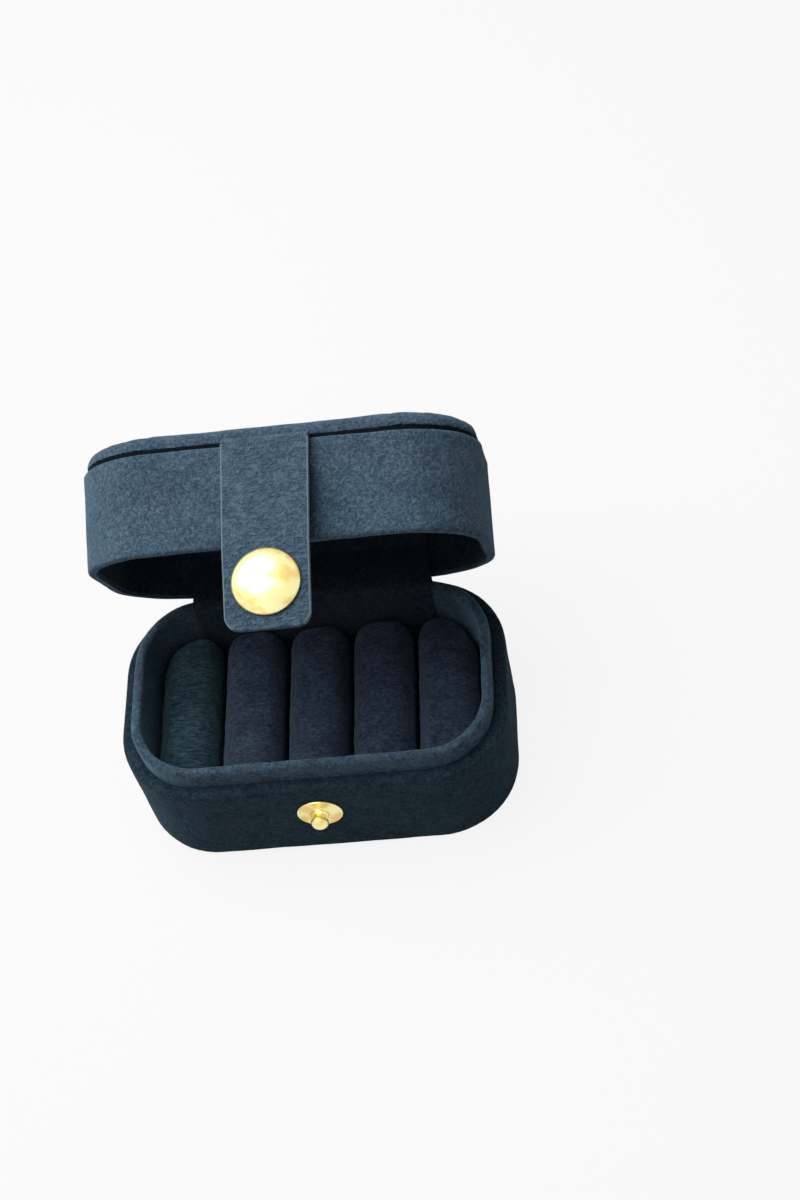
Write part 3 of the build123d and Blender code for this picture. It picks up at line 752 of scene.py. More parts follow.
def metal_smudges_and_patches():
    """Soft smudges and shallow waves of polished metal, sizes in millimetres. The smudges raise the
    roughness and blend the colour toward a patch colour, which on the gold is painted reflection.
    """
    group, start, end = new_group(
        "Metal smudges and patches",
        (
            ("Colour", "NodeSocketColor", (0.9, 0.75, 0.35, 1.0)),
            ("Worn colour", "NodeSocketColor", (0.8, 0.62, 0.25, 1.0)),
            ("Polish", "NodeSocketFloat", 0.10),
            ("Smudge", "NodeSocketFloat", 0.14),
            ("Wave size", "NodeSocketFloat", 3.0),
        ),
        PATTERN_OUTPUTS,
    )
    if start is None:
        return group
    plain = object_millimetres(group)
    wave_scale = maths(group, (-540, 100), "DIVIDE", 1.0, start.outputs["Wave size"])
    waves = noise_at(group, (-340, 100), plain, wave_scale, 2.0, 0.5, 0.5)
    smudge_scale = maths(group, (-540, -60), "MULTIPLY", wave_scale, 1.3)
    smudges = noise_at(group, (-340, -180), plain, smudge_scale, 2.0, 0.5, 0.4)
    smudge_and_reflection_mask = spread(group, (-120, -180), smudges, 0.44, 0.66)
    # The patch colour is painted reflection on the gold; the same mask raises the roughness where
    # smudged.
    patched_colour = blend_colour(
        group, (200, 200), smudge_and_reflection_mask, start.outputs["Colour"], start.outputs["Worn colour"]
    )
    group.links.new(patched_colour, end.inputs["Colour"])
    added = maths(group, (60, -60), "MULTIPLY", smudge_and_reflection_mask, start.outputs["Smudge"])
    roughness = maths(group, (260, -60), "ADD", added, start.outputs["Polish"])
    group.links.new(roughness, end.inputs["Roughness"])
    group.links.new(waves, end.inputs["Height"])
    return group


def surface(name, group, values, bump, depth, **shader):
    """A material that takes its colour, roughness and relief from a group."""
    if name in bpy.data.materials:
        return bpy.data.materials[name]
    made = bpy.data.materials.new(name)
    made.use_nodes = True
    tree = made.node_tree
    principled = tree.nodes["Principled BSDF"]
    pattern = tree.nodes.new("ShaderNodeGroup")
    pattern.node_tree = group
    pattern.location = (-520, 200)
    for label, value in values.items():
        pattern.inputs[label].default_value = value
    relief = add_node(tree, "ShaderNodeBump", (-260, -160), Strength=bump, Distance=depth)
    tree.links.new(pattern.outputs["Colour"], principled.inputs["Base Color"])
    tree.links.new(pattern.outputs["Roughness"], principled.inputs["Roughness"])
    tree.links.new(pattern.outputs["Height"], relief.inputs["Height"])
    tree.links.new(relief.outputs["Normal"], principled.inputs["Normal"])
    for label, value in shader.items():
        principled.inputs[label.replace("_", " ")].default_value = value
    return made


def opaque(value):
    """A panel colour with full alpha."""
    return (value[0], value[1], value[2], 1.0)


def suede(
    name, plain, brushed, tinge,
    patch=7.0, grain=0.35, stretch=(1.0, 1.0, 1.0), contrast=0.5, bump=0.5, sheen=0.35,
):
    """One of the suedes of the box."""
    sheen_tint = opaque([min(1.0, 3.5 * part + 0.02) for part in brushed])
    return surface(
        name,
        suede_nap(),
        {
            "Colour": opaque(plain),
            "Brushed colour": opaque(brushed),
            "Tinge": opaque(tinge),
            "Patch size": patch,
            "Grain size": grain,
            "Stroke stretch": stretch,
            "Grain contrast": contrast,
        },
        bump,
        0.22 * MM,
        Sheen_Weight=sheen,
        Sheen_Roughness=0.35,
        Sheen_Tint=sheen_tint,
        Specular_IOR_Level=0.04,
    )


def gold():
    """Polished plating of the snap, with amber patches of painted reflection in its colour."""
    tint = colours()
    return surface(
        "Polished gold",
        metal_smudges_and_patches(),
        {
            "Colour": opaque(tint.gold),
            "Worn colour": opaque(tint.gold_amber_reflection),
            "Polish": 0.34,
            "Smudge": 0.06,
            "Wave size": 6.0,
        },
        0.55,
        0.35 * MM,
        Metallic=1.0,
    )


def lid_suede():
    """Suede of the lid, brushed light."""
    tint = colours()
    return suede(
        "Lid suede", tint.lid, tint.lid_brushed, tint.tinge,
        patch=6.0, grain=0.60, contrast=0.62, bump=0.8,
    )


def base_suede_painted_shade():
    """Suede of the base: the lid's suede painted darker as the shade that falls on the base."""
    tint = colours()
    return suede(
        "Base suede in painted shade", tint.base, tint.base_brushed_painted_shade, tint.dark_tinge,
        patch=6.0, grain=0.60, bump=0.8, sheen=0.55,
    )


def collar_suede():
    """Suede of the collar."""
    tint = colours()
    return suede(
        "Collar suede", tint.collar, tint.collar_brushed, tint.dark_tinge,
        patch=5.0, grain=0.55, bump=0.7, sheen=0.6,
    )


def lining_suede():
    """Suede of the lid's inside and the hinge, its near black colour painted shade."""
    tint = colours()
    return suede(
        "Lining suede in painted shade", tint.lining, tint.lining_brushed_painted_shade, tint.dark_tinge, patch=9.0, grain=0.55
    )


def strap_suede():
    """Grained suede of the strap."""
    tint = colours()
    return surface(
        "Strap suede",
        pebbled_grain(),
        {
            "Colour": opaque(tint.strap),
            # The lighter colour paints light on the ridges and the plain colour paints shade in the
            # creases.
            "Raised colour": opaque(tint.strap_lit_ridge_and_grain),
            "Ridge size": 1.05,
            "Ridge stretch": (0.65, 1.2, 1.2),
            "Crease depth": 1.0,
        },
        1.0,
        0.35 * MM,
        Sheen_Weight=0.30,
        Sheen_Roughness=0.4,
        Sheen_Tint=(0.34, 0.50, 0.62, 1.0),
        Specular_IOR_Level=0.08,
    )


def dress(piece, material, body, slot, *nodes):
    """Gives a finished piece its material and body and hides the solids that it stands for; the
    slot is not used.
    """
    paint(piece, material)
    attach(piece, body)
    if nodes:
        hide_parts(*nodes)
    return piece


# ------------------------------------------------------------------ operators
class RINGBOX_OT_stage(bpy.types.Operator):
    """Make the pale floor, the soft studio light and the camera"""

    bl_idname = "ringbox.stage"
    bl_label = "Stage"
    bl_options = {"REGISTER", "UNDO"}

    def execute(self, context):
        scene = context.scene
        scene.view_settings.view_transform = "Standard"

        drop_selection()
        bpy.ops.mesh.primitive_plane_add(size=6.0, location=(0.0, 0.0, 0.0))
        floor = context.object
        floor.name = floor.data.name = "floor"
        floor.data.materials.append(self.floor_material())

        world = bpy.data.worlds.new("Studio")
        scene.world = world
        world.use_nodes = True
        tree = world.node_tree
        seen = tree.nodes["Background"]
        seen.inputs["Color"].default_value = (1.0, 1.0, 1.0, 1.0)
        seen.inputs["Strength"].default_value = 1.0
        room = add_node(tree, "ShaderNodeBackground", (0, -160), Strength=0.18)
        room.inputs["Color"].default_value = (0.92, 0.97, 1.0, 1.0)
        path = add_node(tree, "ShaderNodeLightPath", (-400, 200))
        direct, glossy = path.outputs["Is Camera Ray"], path.outputs["Is Glossy Ray"]
        plain = maths(tree, (-200, 200), "MAXIMUM", direct, glossy)
        plain = maths(tree, (0, 200), "MAXIMUM", plain, path.outputs["Is Transmission Ray"])
        mixed = tree.nodes.new("ShaderNodeMixShader")
        tree.links.new(plain, mixed.inputs[0])
        tree.links.new(room.outputs[0], mixed.inputs[1])
        tree.links.new(seen.outputs[0], mixed.inputs[2])
        tree.links.new(mixed.outputs[0], tree.nodes["World Output"].inputs["Surface"])

        self.lamp("Key light", (-0.19, 0.08, 0.48), 0.60, 3.9, (1.0, 0.99, 0.97))
        self.lamp("Fill light", (-0.20, -0.52, 0.30), 0.45, 0.18, (0.95, 0.98, 1.0))

        sight = bpy.data.cameras.new("Camera")
        sight.sensor_width = 36.0
        sight.lens = CAMERA_LENS
        camera = bpy.data.objects.new("Camera", sight)
        scene.collection.objects.link(camera)
        yaw, pitch, roll = radians(CAMERA_YAW), radians(CAMERA_PITCH), radians(CAMERA_ROLL)
        ahead = Vector((sin(yaw) * cos(pitch), cos(yaw) * cos(pitch), -sin(pitch)))
        level = Vector((cos(yaw), -sin(yaw), 0.0))
        over = level.cross(ahead)
        right = level * cos(roll) + over * sin(roll)
        up = over * cos(roll) - level * sin(roll)
        camera.matrix_world = Matrix(
            (
                (right.x, up.x, -ahead.x, CAMERA_PLACE[0]),
                (right.y, up.y, -ahead.y, CAMERA_PLACE[1]),
                (right.z, up.z, -ahead.z, CAMERA_PLACE[2]),
                (0.0, 0.0, 0.0, 1.0),
            )
        )
        scene.camera = camera
        return {"FINISHED"}

    def floor_material(self):
        """A pale floor that reads as white and keeps the box's shadow."""
        made = bpy.data.materials.new("Pale floor")
        made.use_nodes = True
        tree = made.node_tree
        matt = tree.nodes["Principled BSDF"]
        matt.inputs["Base Color"].default_value = opaque(colours().floor)
        matt.inputs["Roughness"].default_value = 0.9
        matt.inputs["Specular IOR Level"].default_value = 0.1
        white = add_node(tree, "ShaderNodeEmission", (0, -200), Strength=1.0)
        path = add_node(tree, "ShaderNodeLightPath", (-400, 300))
        direct, glossy = path.outputs["Is Camera Ray"], path.outputs["Is Glossy Ray"]
        seen = maths(tree, (-200, 300), "MAXIMUM", direct, glossy)
        share = maths(tree, (0, 300), "MULTIPLY", seen, 0.88)
        mixed = tree.nodes.new("ShaderNodeMixShader")
        mixed.location = (300, 100)
        tree.links.new(share, mixed.inputs[0])
        tree.links.new(matt.outputs[0], mixed.inputs[1])
        tree.links.new(white.outputs[0], mixed.inputs[2])
        tree.links.new(mixed.outputs[0], tree.nodes["Material Output"].inputs["Surface"])
        return made

    def lamp(self, name, place, size, power, tint):
        """A soft area lamp that faces the box."""
        light = bpy.data.lights.new(name, "AREA")
        light.shape = "DISK"
        light.size = size
        light.energy = power
        light.color = tint
        lamp = bpy.data.objects.new(name, light)
        bpy.context.scene.collection.objects.link(lamp)
        lamp.location = place
        towards = Vector((0.0, 0.01, 0.035)) - Vector(place)
        lamp.rotation_euler = towards.to_track_quat("-Z", "Y").to_euler()


class RINGBOX_OT_base_shell(bpy.types.Operator):
    """Make the suede round the base, turned over its rim and under its bottom edge"""

    bl_idname = "ringbox.base_shell"
    bl_label = "Base suede in painted shade"
    bl_options = {"REGISTER", "UNDO"}

    def execute(self, context):
        box = sizes()
        shell = outline_block("base_suede_painted_shade", 0.0, box.base_foot, box.base_height)
        open_end(1, box.base_rim)
        open_end(-1, box.turn_in)
        round_level(box.base_height, 0.0, box.rim_edge, 4)
        round_level(box.base_foot, 0.0, box.bottom_edge, 5)
        divide_all(1.6 * MM)
        end_edit()
        ripple(shell, (9 * MM, 9 * MM, 9 * MM), 0.10 * MM)
        apply_modifier(shell, "SOLIDIFY", thickness=box.suede, offset=-1.0)
        settle(shell)
        dress(shell, base_suede_painted_shade(), "base", "suede", "base_side_cover")
        return {"FINISHED"}


class RINGBOX_OT_collar(bpy.types.Operator):
    """Make the suede folded over the collar that stands above the base's rim"""

    bl_idname = "ringbox.collar"
    bl_label = "Collar"
    bl_options = {"REGISTER", "UNDO"}

    def execute(self, context):
        box = sizes()
        collar = outline_block("collar_suede", box.collar_inset, box.collar_foot, box.collar_top)
        pick("FACE", lambda face: face.normal.z < -0.9)
        bpy.ops.mesh.delete(type="FACE")
        inset_end(1, box.collar_width)
        drop = box.collar_foot - box.collar_top
        bpy.ops.mesh.extrude_region_move(TRANSFORM_OT_translate={"value": (0.0, 0.0, drop)})
        bpy.ops.mesh.delete(type="FACE")
        round_level(box.collar_top, box.collar_inset, box.collar_edge, 5)
        round_level(box.collar_top, box.collar_inset + box.collar_width, box.collar_edge, 5)
        divide_all(1.6 * MM)
        end_edit()
        ripple(collar, (7 * MM, 7 * MM, 7 * MM), 0.12 * MM)
        apply_modifier(collar, "SOLIDIFY", thickness=0.5 * MM, offset=-1.0)
        settle(collar)
        dress(collar, collar_suede(), "base", "suede", "collar_cover")
        return {"FINISHED"}


class RINGBOX_OT_rolls(bpy.types.Operator):
    """Make the padded ring rolls side by side in the base"""

    bl_idname = "ringbox.rolls"
    bl_label = "Ring rolls"
    bl_options = {"REGISTER", "UNDO"}

    def execute(self, context):
        tint = colours()
        first = suede(
            "First roll suede", tint.first_roll, tint.first_roll_brushed, tint.dark_tinge,
            patch=6.0, grain=0.50, stretch=(0.30, 1.3, 0.6), contrast=0.80, bump=1.0,
        )
        rest = suede(
            "Roll suede", tint.roll, tint.roll_brushed, tint.dark_tinge,
            patch=7.0, grain=0.50, stretch=(0.5, 1.1, 0.8), contrast=0.70, bump=0.9,
        )
        for number in range(sizes().roll_count):
            roll = self.roll(number)
            settle(roll, smooth=50.0)
            dress(
                roll, first if number == 0 else rest, "base", "roll_suede",
                f"roll_cover_{number + 1}", f"roll_foam_{number + 1}",
            )
        return {"FINISHED"}

    def roll(self, number):
        """One roll: a bar with round shoulders and ends, filled and fitted to the tray."""
        box = sizes()
        low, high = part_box(f"roll_cover_{number + 1}")
        middle = (number - (box.roll_count - 1) / 2) * (box.roll_width + box.roll_gap)
        front, back = roll_low.y, roll_high.y
        width = box.roll_width - 2 * box.roll_slack
        foot, crest = low.z, high.z - box.roll_slack
        drop_selection()
        bpy.ops.mesh.primitive_cube_add(
            size=1.0,
            location=(middle, (front + back) / 2, (foot + crest) / 2),
            scale=(width, back - front, crest - foot),
        )
        roll = named(f"ring_roll_{number + 1}")
        bpy.ops.object.transform_apply(location=True, rotation=True, scale=True)
        bpy.ops.object.mode_set(mode="EDIT")
        halfway = (foot + crest) / 2
        pick("EDGE", lambda edge: spans(edge, 1, 5 * MM) and edge.verts[0].co.z > halfway)
        bpy.ops.mesh.bevel(offset=box.roll_shoulder, segments=12, affect="EDGES")
        pick(
            "EDGE",
            lambda edge: any(abs(face.normal.y) > 0.99 for face in edge.link_faces)
            and max(vertex.co.z for vertex in edge.verts) > foot + MM,
        )
        bpy.ops.mesh.bevel(offset=box.roll_end, segments=6, affect="EDGES")
        end_edit()
        fill_pad(roll, ROLL_VOXEL, ROLL_PRESSURE, box.roll_swell, -1)
        for vertex in roll.data.vertices:
            aside = vertex.co.x - middle
            vertex.co.x = middle + max(-box.roll_width / 2, min(box.roll_width / 2, aside))
            vertex.co.y = max(front, min(back, vertex.co.y))
            vertex.co.z = max(foot, vertex.co.z)
        self.fit_to_tray(roll, front, back)
        ripple(roll, (14 * MM, 2.2 * MM, 9 * MM), 0.10 * MM, shift=3.1 * number)
        return roll

    def fit_to_tray(self, roll, front, back):
        """Shortens the outer side of the end rolls to follow the tray's rounded corners."""
        box = sizes()
        inset = box.tray_inset + box.tray_room
        corner = box.corner - inset
        straight = box.width / 2 - box.corner
        middle = (front + back) / 2
        for vertex in roll.data.vertices:
            past = abs(vertex.co.x) - straight
            if past <= 0.0:
                continue
            reach = box.depth / 2 - box.corner + sqrt(max(corner**2 - past**2, 0.0))
            room = min(1.0, reach / (box.depth / 2 - inset))
            vertex.co.y = middle + (vertex.co.y - middle) * room
        roll.data.update()


class RINGBOX_OT_tray_pad(bpy.types.Operator):
    """Make the foam sheet that lies under the tray's floor"""

    bl_idname = "ringbox.tray_pad"
    bl_label = "Tray foam"
    bl_options = {"REGISTER", "UNDO"}

    def execute(self, context):
        box = sizes()
        tint = colours()
        low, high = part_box("tray_underlay")
        inset = box.width / 2 - high.x
        pad = outline_block("tray_foam", inset, low.z, high.z)
        round_level(low.z, inset, 0.4 * MM, 3)
        round_level(high.z, inset, 0.4 * MM, 3)
        divide_all(2.0 * MM, (0, 1))
        end_edit()
        ripple(pad, (6 * MM, 6 * MM, 6 * MM), 0.05 * MM, shift=9.0)
        settle(pad)
        foam = suede(
            "Foam", tint.foam, tint.foam_cut, tint.foam, patch=4.0, grain=0.45, contrast=0.6
        )
        dress(pad, foam, "base", "foam", "tray_underlay")
        return {"FINISHED"}


class RINGBOX_OT_lid_shell(bpy.types.Operator):
    """Make the suede round the lid, turned over its rim"""

    bl_idname = "ringbox.lid_shell"
    bl_label = "Lid suede"
    bl_options = {"REGISTER", "UNDO"}

    def execute(self, context):
        box = sizes()
        rim, seam, _, _ = lid_levels()
        shell = outline_block("lid_suede", 0.0, rim, seam)
        open_end(-1, box.lid_rim)
        open_end(1, box.lid_rim)
        round_level(rim, 0.0, box.rim_edge, 4)
        round_level(seam, 0.0, box.rim_edge, 4)
        divide_all(1.4 * MM)
        end_edit()
        ripple(shell, (10 * MM, 10 * MM, 10 * MM), 0.12 * MM, shift=4.0)
        apply_modifier(shell, "SOLIDIFY", thickness=box.suede, offset=-1.0)
        settle(shell, lid_turn())
        dress(shell, lid_suede(), "lid", "suede", "lid_side_cover")
        return {"FINISHED"}


class RINGBOX_OT_lid_inside(bpy.types.Operator):
    """Make the lining round the inside of the lid and its padded ceiling"""

    bl_idname = "ringbox.lid_inside"
    bl_label = "Lid lining"
    bl_options = {"REGISTER", "UNDO"}

    def execute(self, context):
        box = sizes()
        rim, seam, _, _ = lid_levels()
        lining = outline_block("lid_lining_suede", box.lid_rim, rim + box.suede, seam)
        pick("FACE", lambda face: abs(face.normal.z) > 0.9)
        bpy.ops.mesh.delete(type="FACE")
        divide_all(2.0 * MM)
        end_edit()
        apply_modifier(lining, "SOLIDIFY", thickness=box.lining, offset=-1.0)
        settle(lining, lid_turn())
        dress(lining, lining_suede(), "lid", "lining_suede", "lid_lining")

        pad_top = seam - box.ceiling_board
        inset = box.lid_rim + box.lining + box.ceiling_room
        pad = outline_block("lid_ceiling_suede", inset, pad_top - 0.75 * box.ceiling, pad_top)
        round_level(pad_top - 0.75 * box.ceiling, inset, 0.5 * box.ceiling, 4)
        end_edit()
        fill_pad(pad, PANEL_VOXEL, PANEL_PRESSURE, 0.3 * box.ceiling, 1)
        ripple(pad, (16 * MM, 16 * MM, 16 * MM), 0.12 * MM, shift=7.0)
        settle(pad, lid_turn())
        dress(pad, lining_suede(), "lid", "lining_suede", "lid_ceiling_pad")
        return {"FINISHED"}


class RINGBOX_OT_lid_top(bpy.types.Operator):
    """Make the padded top panel above the dark seam"""

    bl_idname = "ringbox.lid_top"
    bl_label = "Padded top"
    bl_options = {"REGISTER", "UNDO"}

    def execute(self, context):
        box = sizes()
        _, _, panel, top = lid_levels()
        edge = panel - box.seam_swell
        crest = top - box.top_slack
        pad = outline_block("lid_top_suede", box.top_slack, edge, crest)
        for step in (4.0 * MM, 5.0 * MM, 6.0 * MM, 6.0 * MM):
            inset_end(1, step)
        round_level(crest, box.top_slack, box.top_edge, 7)
        round_level(edge, box.top_slack, box.top_lower_edge, 4)
        divide_all(2.0 * MM, (0, 1))
        end_edit()
        for vertex in pad.data.vertices:
            if vertex.co.z > crest - 0.01 * MM:
                across = 2 * vertex.co.x / box.width
                along = 2 * vertex.co.y / box.depth
                vertex.co.z += box.crown * (1 - across**2) * (1 - along**2)
        fill_pad(pad, PANEL_VOXEL, PANEL_PRESSURE, 1.5 * box.top_slack, -1)
        rise = box.seam_height + box.seam_swell
        for vertex in pad.data.vertices:
            if vertex.co.z < edge + 0.4 * MM and off_outline(vertex.co, box.seam_depth) < 0.0:
                vertex.co.z += rise
        ripple(pad, (11 * MM, 11 * MM, 6 * MM), 0.14 * MM, shift=11.0)
        settle(pad, lid_turn(), smooth=50.0)
        dress(pad, lid_suede(), "lid", "suede", "lid_top_cover", "lid_top_padding")
        return {"FINISHED"}


class RINGBOX_OT_hinge(bpy.types.Operator):
    """Make the two fabric strips that hinge the lid to the base"""

    bl_idname = "ringbox.hinge"
    bl_label = "Fabric hinge"
    bl_options = {"REGISTER", "UNDO"}

    def execute(self, context):
        box = sizes()
        turn = lid_turn()
        foot = (lid_hinge.y, lid_hinge.z - box.hinge_leaf)
        bend = (lid_hinge.y, lid_hinge.z)
        tip = turn @ Vector((0.0, lid_hinge.y, lid_hinge.z + box.hinge_leaf))
        outer = strip(
            "hinge_outer_suede", [foot, bend, (tip.y, tip.z)], [0.9 * MM],
            box.outer_strip, box.hinge_width, box.strip_corner,
        )
        dress_blend(
            outer, base_suede_painted_shade(),
            "hinge_outer_strip",
        )

        stand = box.inner_strip / 2 + box.strip_room
        base_y = box.depth / 2 - box.tray_inset - stand
        lid_y = box.depth / 2 - box.lid_rim - box.lining - stand
        lid_start = box.collar_top + box.rim_gap + box.inner_rise
        entry = turn @ Vector((0.0, lid_y, lid_start))
        tip = turn @ Vector((0.0, lid_y, lid_start + box.inner_leaf))
        path = [
            (base_y, box.base_height - box.hinge_leaf),
            (base_y, box.collar_top + stand),
            (entry.y, entry.z),
            (tip.y, tip.z),
        ]
        inner = strip(
            "hinge_inner_suede", path, [box.collar_edge + stand, 2.5 * MM],
            box.inner_strip, box.hinge_width, box.strip_corner,
        )
        dress_blend(
            inner, lining_suede(),
            "hinge_inner_strip",
        )
        return {"FINISHED"}


def off_axis(spot, middle):
    """How far a spot is from the line through the middle along Y."""
    return hypot(spot.x - middle.x, spot.z - middle.z)


class RINGBOX_OT_strap(bpy.types.Operator):
    """Make the strap's grained face and its suede backing"""

    bl_idname = "ringbox.strap"
    bl_label = "Strap"
    bl_options = {"REGISTER", "UNDO"}

    def execute(self, context):
        box = sizes()
        cut = colours().cut_edge
        edge = suede("Strap cut edge", cut, cut, cut, grain=0.25, contrast=0.3)
        for name, offset, node in (
            ("strap_backing_suede", -box.strap_layer / 2, "strap_backing"),
            ("strap_face_suede", box.strap_layer / 2, "strap_face"),
        ):
            layer = self.layer(name, offset)
            settle(layer, strap_turn(), smooth=50.0)
            dress(layer, strap_suede(), "strap", "strap_suede", node)
            layer.data.materials.append(edge)
            flat = strap_turn().inverted()
            for face in layer.data.polygons:
                centre = flat @ face.center
                if abs(centre.x) > self.half_width(-centre.z) - box.edge_line:
                    face.material_index = 1

        inside = lid_turn() @ Vector((0.0, -box.depth / 2 + ROOT_DEPTH, root_level()))
        outward, level = strap_side_line(2 * box.strap_start, 0.0)
        along = strap_turn() @ Vector((0.0, -outward, level))
        path = [(inside.y, inside.z), (strap_hinge.y, strap_hinge.z), (along.y, along.z)]
        root = strip(
            "strap_root_suede", path, [box.strap_layer],
            1.8 * box.strap_layer, box.strap_width - 0.1 * MM, 0.3 * MM,
        )
        dress_blend(root, strap_suede(), "strap_root")
        return {"FINISHED"}

    def half_width(self, down):
        """Half the strap's width this far down from its root."""
        box = sizes()
        total = strap_length()
        taper = (box.strap_end_width - box.strap_width) * down / total
        return (box.strap_width + taper) / 2 - corner_trim(total - down, box.strap_corner)

    def layer(self, name, offset):
        """One layer: a grid trimmed to the strap's outline, bent to its side line and thickened."""
        box = sizes()
        total = strap_length()
        drop_selection()
        bpy.ops.mesh.primitive_grid_add(
            x_subdivisions=64, y_subdivisions=110, size=1.0, location=(0.0, 0.0, 0.0)
        )
        layer = named(name)
        for vertex in layer.data.vertices:
            down = box.strap_start + (0.5 - vertex.co.y) * (total - box.strap_start)
            outward, level = strap_side_line(down, offset)
            vertex.co = (2 * vertex.co.x * self.half_width(down), -outward, level)
        layer.data.update()
        start_edit(layer)
        bpy.ops.mesh.select_all(action="SELECT")
        bpy.ops.mesh.normals_make_consistent(inside=False)
        end_edit()
        if offset > 0:
            ripple(layer, (1.5 * MM, 1.5 * MM, 1.3 * MM), 0.05 * MM, shift=2.0)
        apply_modifier(layer, "SOLIDIFY", thickness=0.96 * box.strap_layer, offset=0.0)
        soften_edges(layer, 0.22 * MM, 60)
        self.punch(layer)
        return layer

    def punch(self, layer):
        """Opens the hole for the snap's post and joins its front and back edges."""
        box = sizes()
        middle = Vector((0.0, 0.0, box.strap_tab - strap_length()))
        start_edit(layer)

        def over_hole(face):
            return min(off_axis(vertex.co, middle) for vertex in face.verts) < box.post_hole

        pick("FACE", over_hole)
        bpy.ops.mesh.delete(type="FACE")
        pick("EDGE", lambda edge: edge.is_boundary)
        form = bmesh.from_edit_mesh(layer.data)
        for vertex in form.verts:
            if vertex.select:
                pull = box.post_hole / off_axis(vertex.co, middle)
                vertex.co.x = middle.x + pull * (vertex.co.x - middle.x)
                vertex.co.z = middle.z + pull * (vertex.co.z - middle.z)
        bmesh.update_edit_mesh(layer.data)
        bpy.ops.mesh.bridge_edge_loops()
        bpy.ops.mesh.select_all(action="SELECT")
        bpy.ops.mesh.normals_make_consistent(inside=False)
        end_edit()


class RINGBOX_OT_snap(bpy.types.Operator):
    """Make the gold cap on the strap and the gold stud on the base"""

    bl_idname = "ringbox.snap"
    bl_label = "Gold snap"
    bl_options = {"REGISTER", "UNDO"}

    def execute(self, context):
        box = sizes()
        seat = box.socket_face + box.socket_height + 2 * box.strap_layer
        settle(self.cap(seat), snap_on_strap(), smooth=60.0)
        dress(context.object, gold(), "strap", "gold_metal", "snap_cap")
        settle(self.stud(), snap_on_base(), smooth=60.0)
        dress(context.object, gold(), "base", "gold_metal", "snap_stud")
        for name in ("stud_rivet", "cap_post", "snap_socket"):
            refinish(name, gold())
        return {"FINISHED"}

    def cap(self, seat):
        """The domed shell: outside from the middle to the rolled rim, then back inside it."""
        box = sizes()
        rise = box.cap_height - box.cap_rim
        ball = (box.cap_radius**2 + rise**2) / (2 * rise)
        middle = (0.0, seat + box.cap_height - ball)
        edge_angle = degrees(atan2(seat + box.cap_rim - middle[1], box.cap_radius))
        dome = arc(middle, ball, 90.0, edge_angle, 18)
        rim = arc((box.cap_radius - box.cap_rim, seat + box.cap_rim), box.cap_rim, 0.0, -90.0, 8)
        lip = [
            (box.cap_lip, seat),
            (box.cap_lip, seat + box.cap_sheet),
            (box.cap_radius - box.cap_rim, seat + box.cap_sheet),
        ]
        inside = arc(middle, ball - box.cap_sheet, edge_angle + 1.5, 90.0, 14)
        dome[0] = (0.0, dome[0][1])
        inside[-1] = (0.0, inside[-1][1])
        return turned("snap_cap_gold", dome + rim[1:] + lip + inside)

    def stud(self):
        """The stud: dished flange with a rolled edge, flared foot, waist and flattened ball."""
        box = sizes()
        ball_level = box.stud_height - BALL_FLATTENING * box.stud_ball
        edge = 0.3 * MM
        flange = [(0.0, 0.0), (box.stud_flange - edge, 0.0)]
        flange += arc((box.stud_flange - edge, edge), edge, -90.0, 90.0, 8)[1:]
        floor = 2 * edge - box.stud_dish
        flare = box.stud_foot - box.stud_neck
        bowl = (box.stud_flange - 2 * edge - box.stud_dish, 2 * edge)
        dish = arc(bowl, box.stud_dish, 0.0, -90.0, 4)
        foot = [(box.stud_foot + 0.15 * MM, floor), (box.stud_foot, floor + 0.15 * MM)]
        waist = arc((box.stud_neck, floor + box.stud_step), flare, 0.0, 90.0, 6)
        neck_angle = degrees(atan2(-sqrt(box.stud_ball**2 - box.stud_neck**2), box.stud_neck))
        ball = [
            (radius, ball_level + BALL_FLATTENING * (level - ball_level))
            for radius, level in arc((0.0, ball_level), box.stud_ball, neck_angle, 90.0, 18)
        ]
        ball[-1] = (0.0, ball[-1][1])
        return turned("snap_stud_gold", flange + dish + foot + waist + ball)


class RINGBOX_OT_boards(bpy.types.Operator):
    """Finish the boards and the spring that stay as they are"""

    bl_idname = "ringbox.boards"
    bl_label = "Boards and spring"
    bl_options = {"REGISTER", "UNDO"}

    def execute(self, context):
        tint = colours()
        board = surface(
            "Grey board",
            suede_nap(),
            {
                "Colour": opaque(tint.board),
                "Brushed colour": opaque([1.25 * part for part in tint.board]),
                "Tinge": opaque([0.85 * part for part in tint.board]),
                "Patch size": 3.0,
                "Grain size": 0.5,
                "Stroke stretch": (1.0, 1.0, 1.0),
                "Grain contrast": 0.25,
            },
            0.3,
            0.05 * MM,
            Specular_IOR_Level=0.2,
        )
        for name in ("base_frame", "base_bottom_board", "lid_ceiling_board", "collar_core"):
            refinish(name, board)
        for name in ("underside_panel", "tray_floor"):
            refinish(name, lining_suede())
        # The frame and top board show in the groove under the top panel; their near black is
        # painted shade of the groove.
        seam = suede("Seam painted shade", tint.seam, tint.seam, tint.seam, grain=0.5)
        for name in ("lid_frame", "lid_top_board"):
            refinish(name, seam)
        steel = surface(
            "Spring steel",
            metal_smudges_and_patches(),
            {
                "Colour": opaque(tint.steel),
                "Worn colour": opaque([0.8 * part for part in tint.steel]),
                "Polish": 0.22,
                "Smudge": 0.12,
                "Wave size": 1.5,
            },
            0.1,
            0.02 * MM,
            Metallic=1.0,
        )
        refinish("socket_spring", steel)
        return {"FINISHED"}


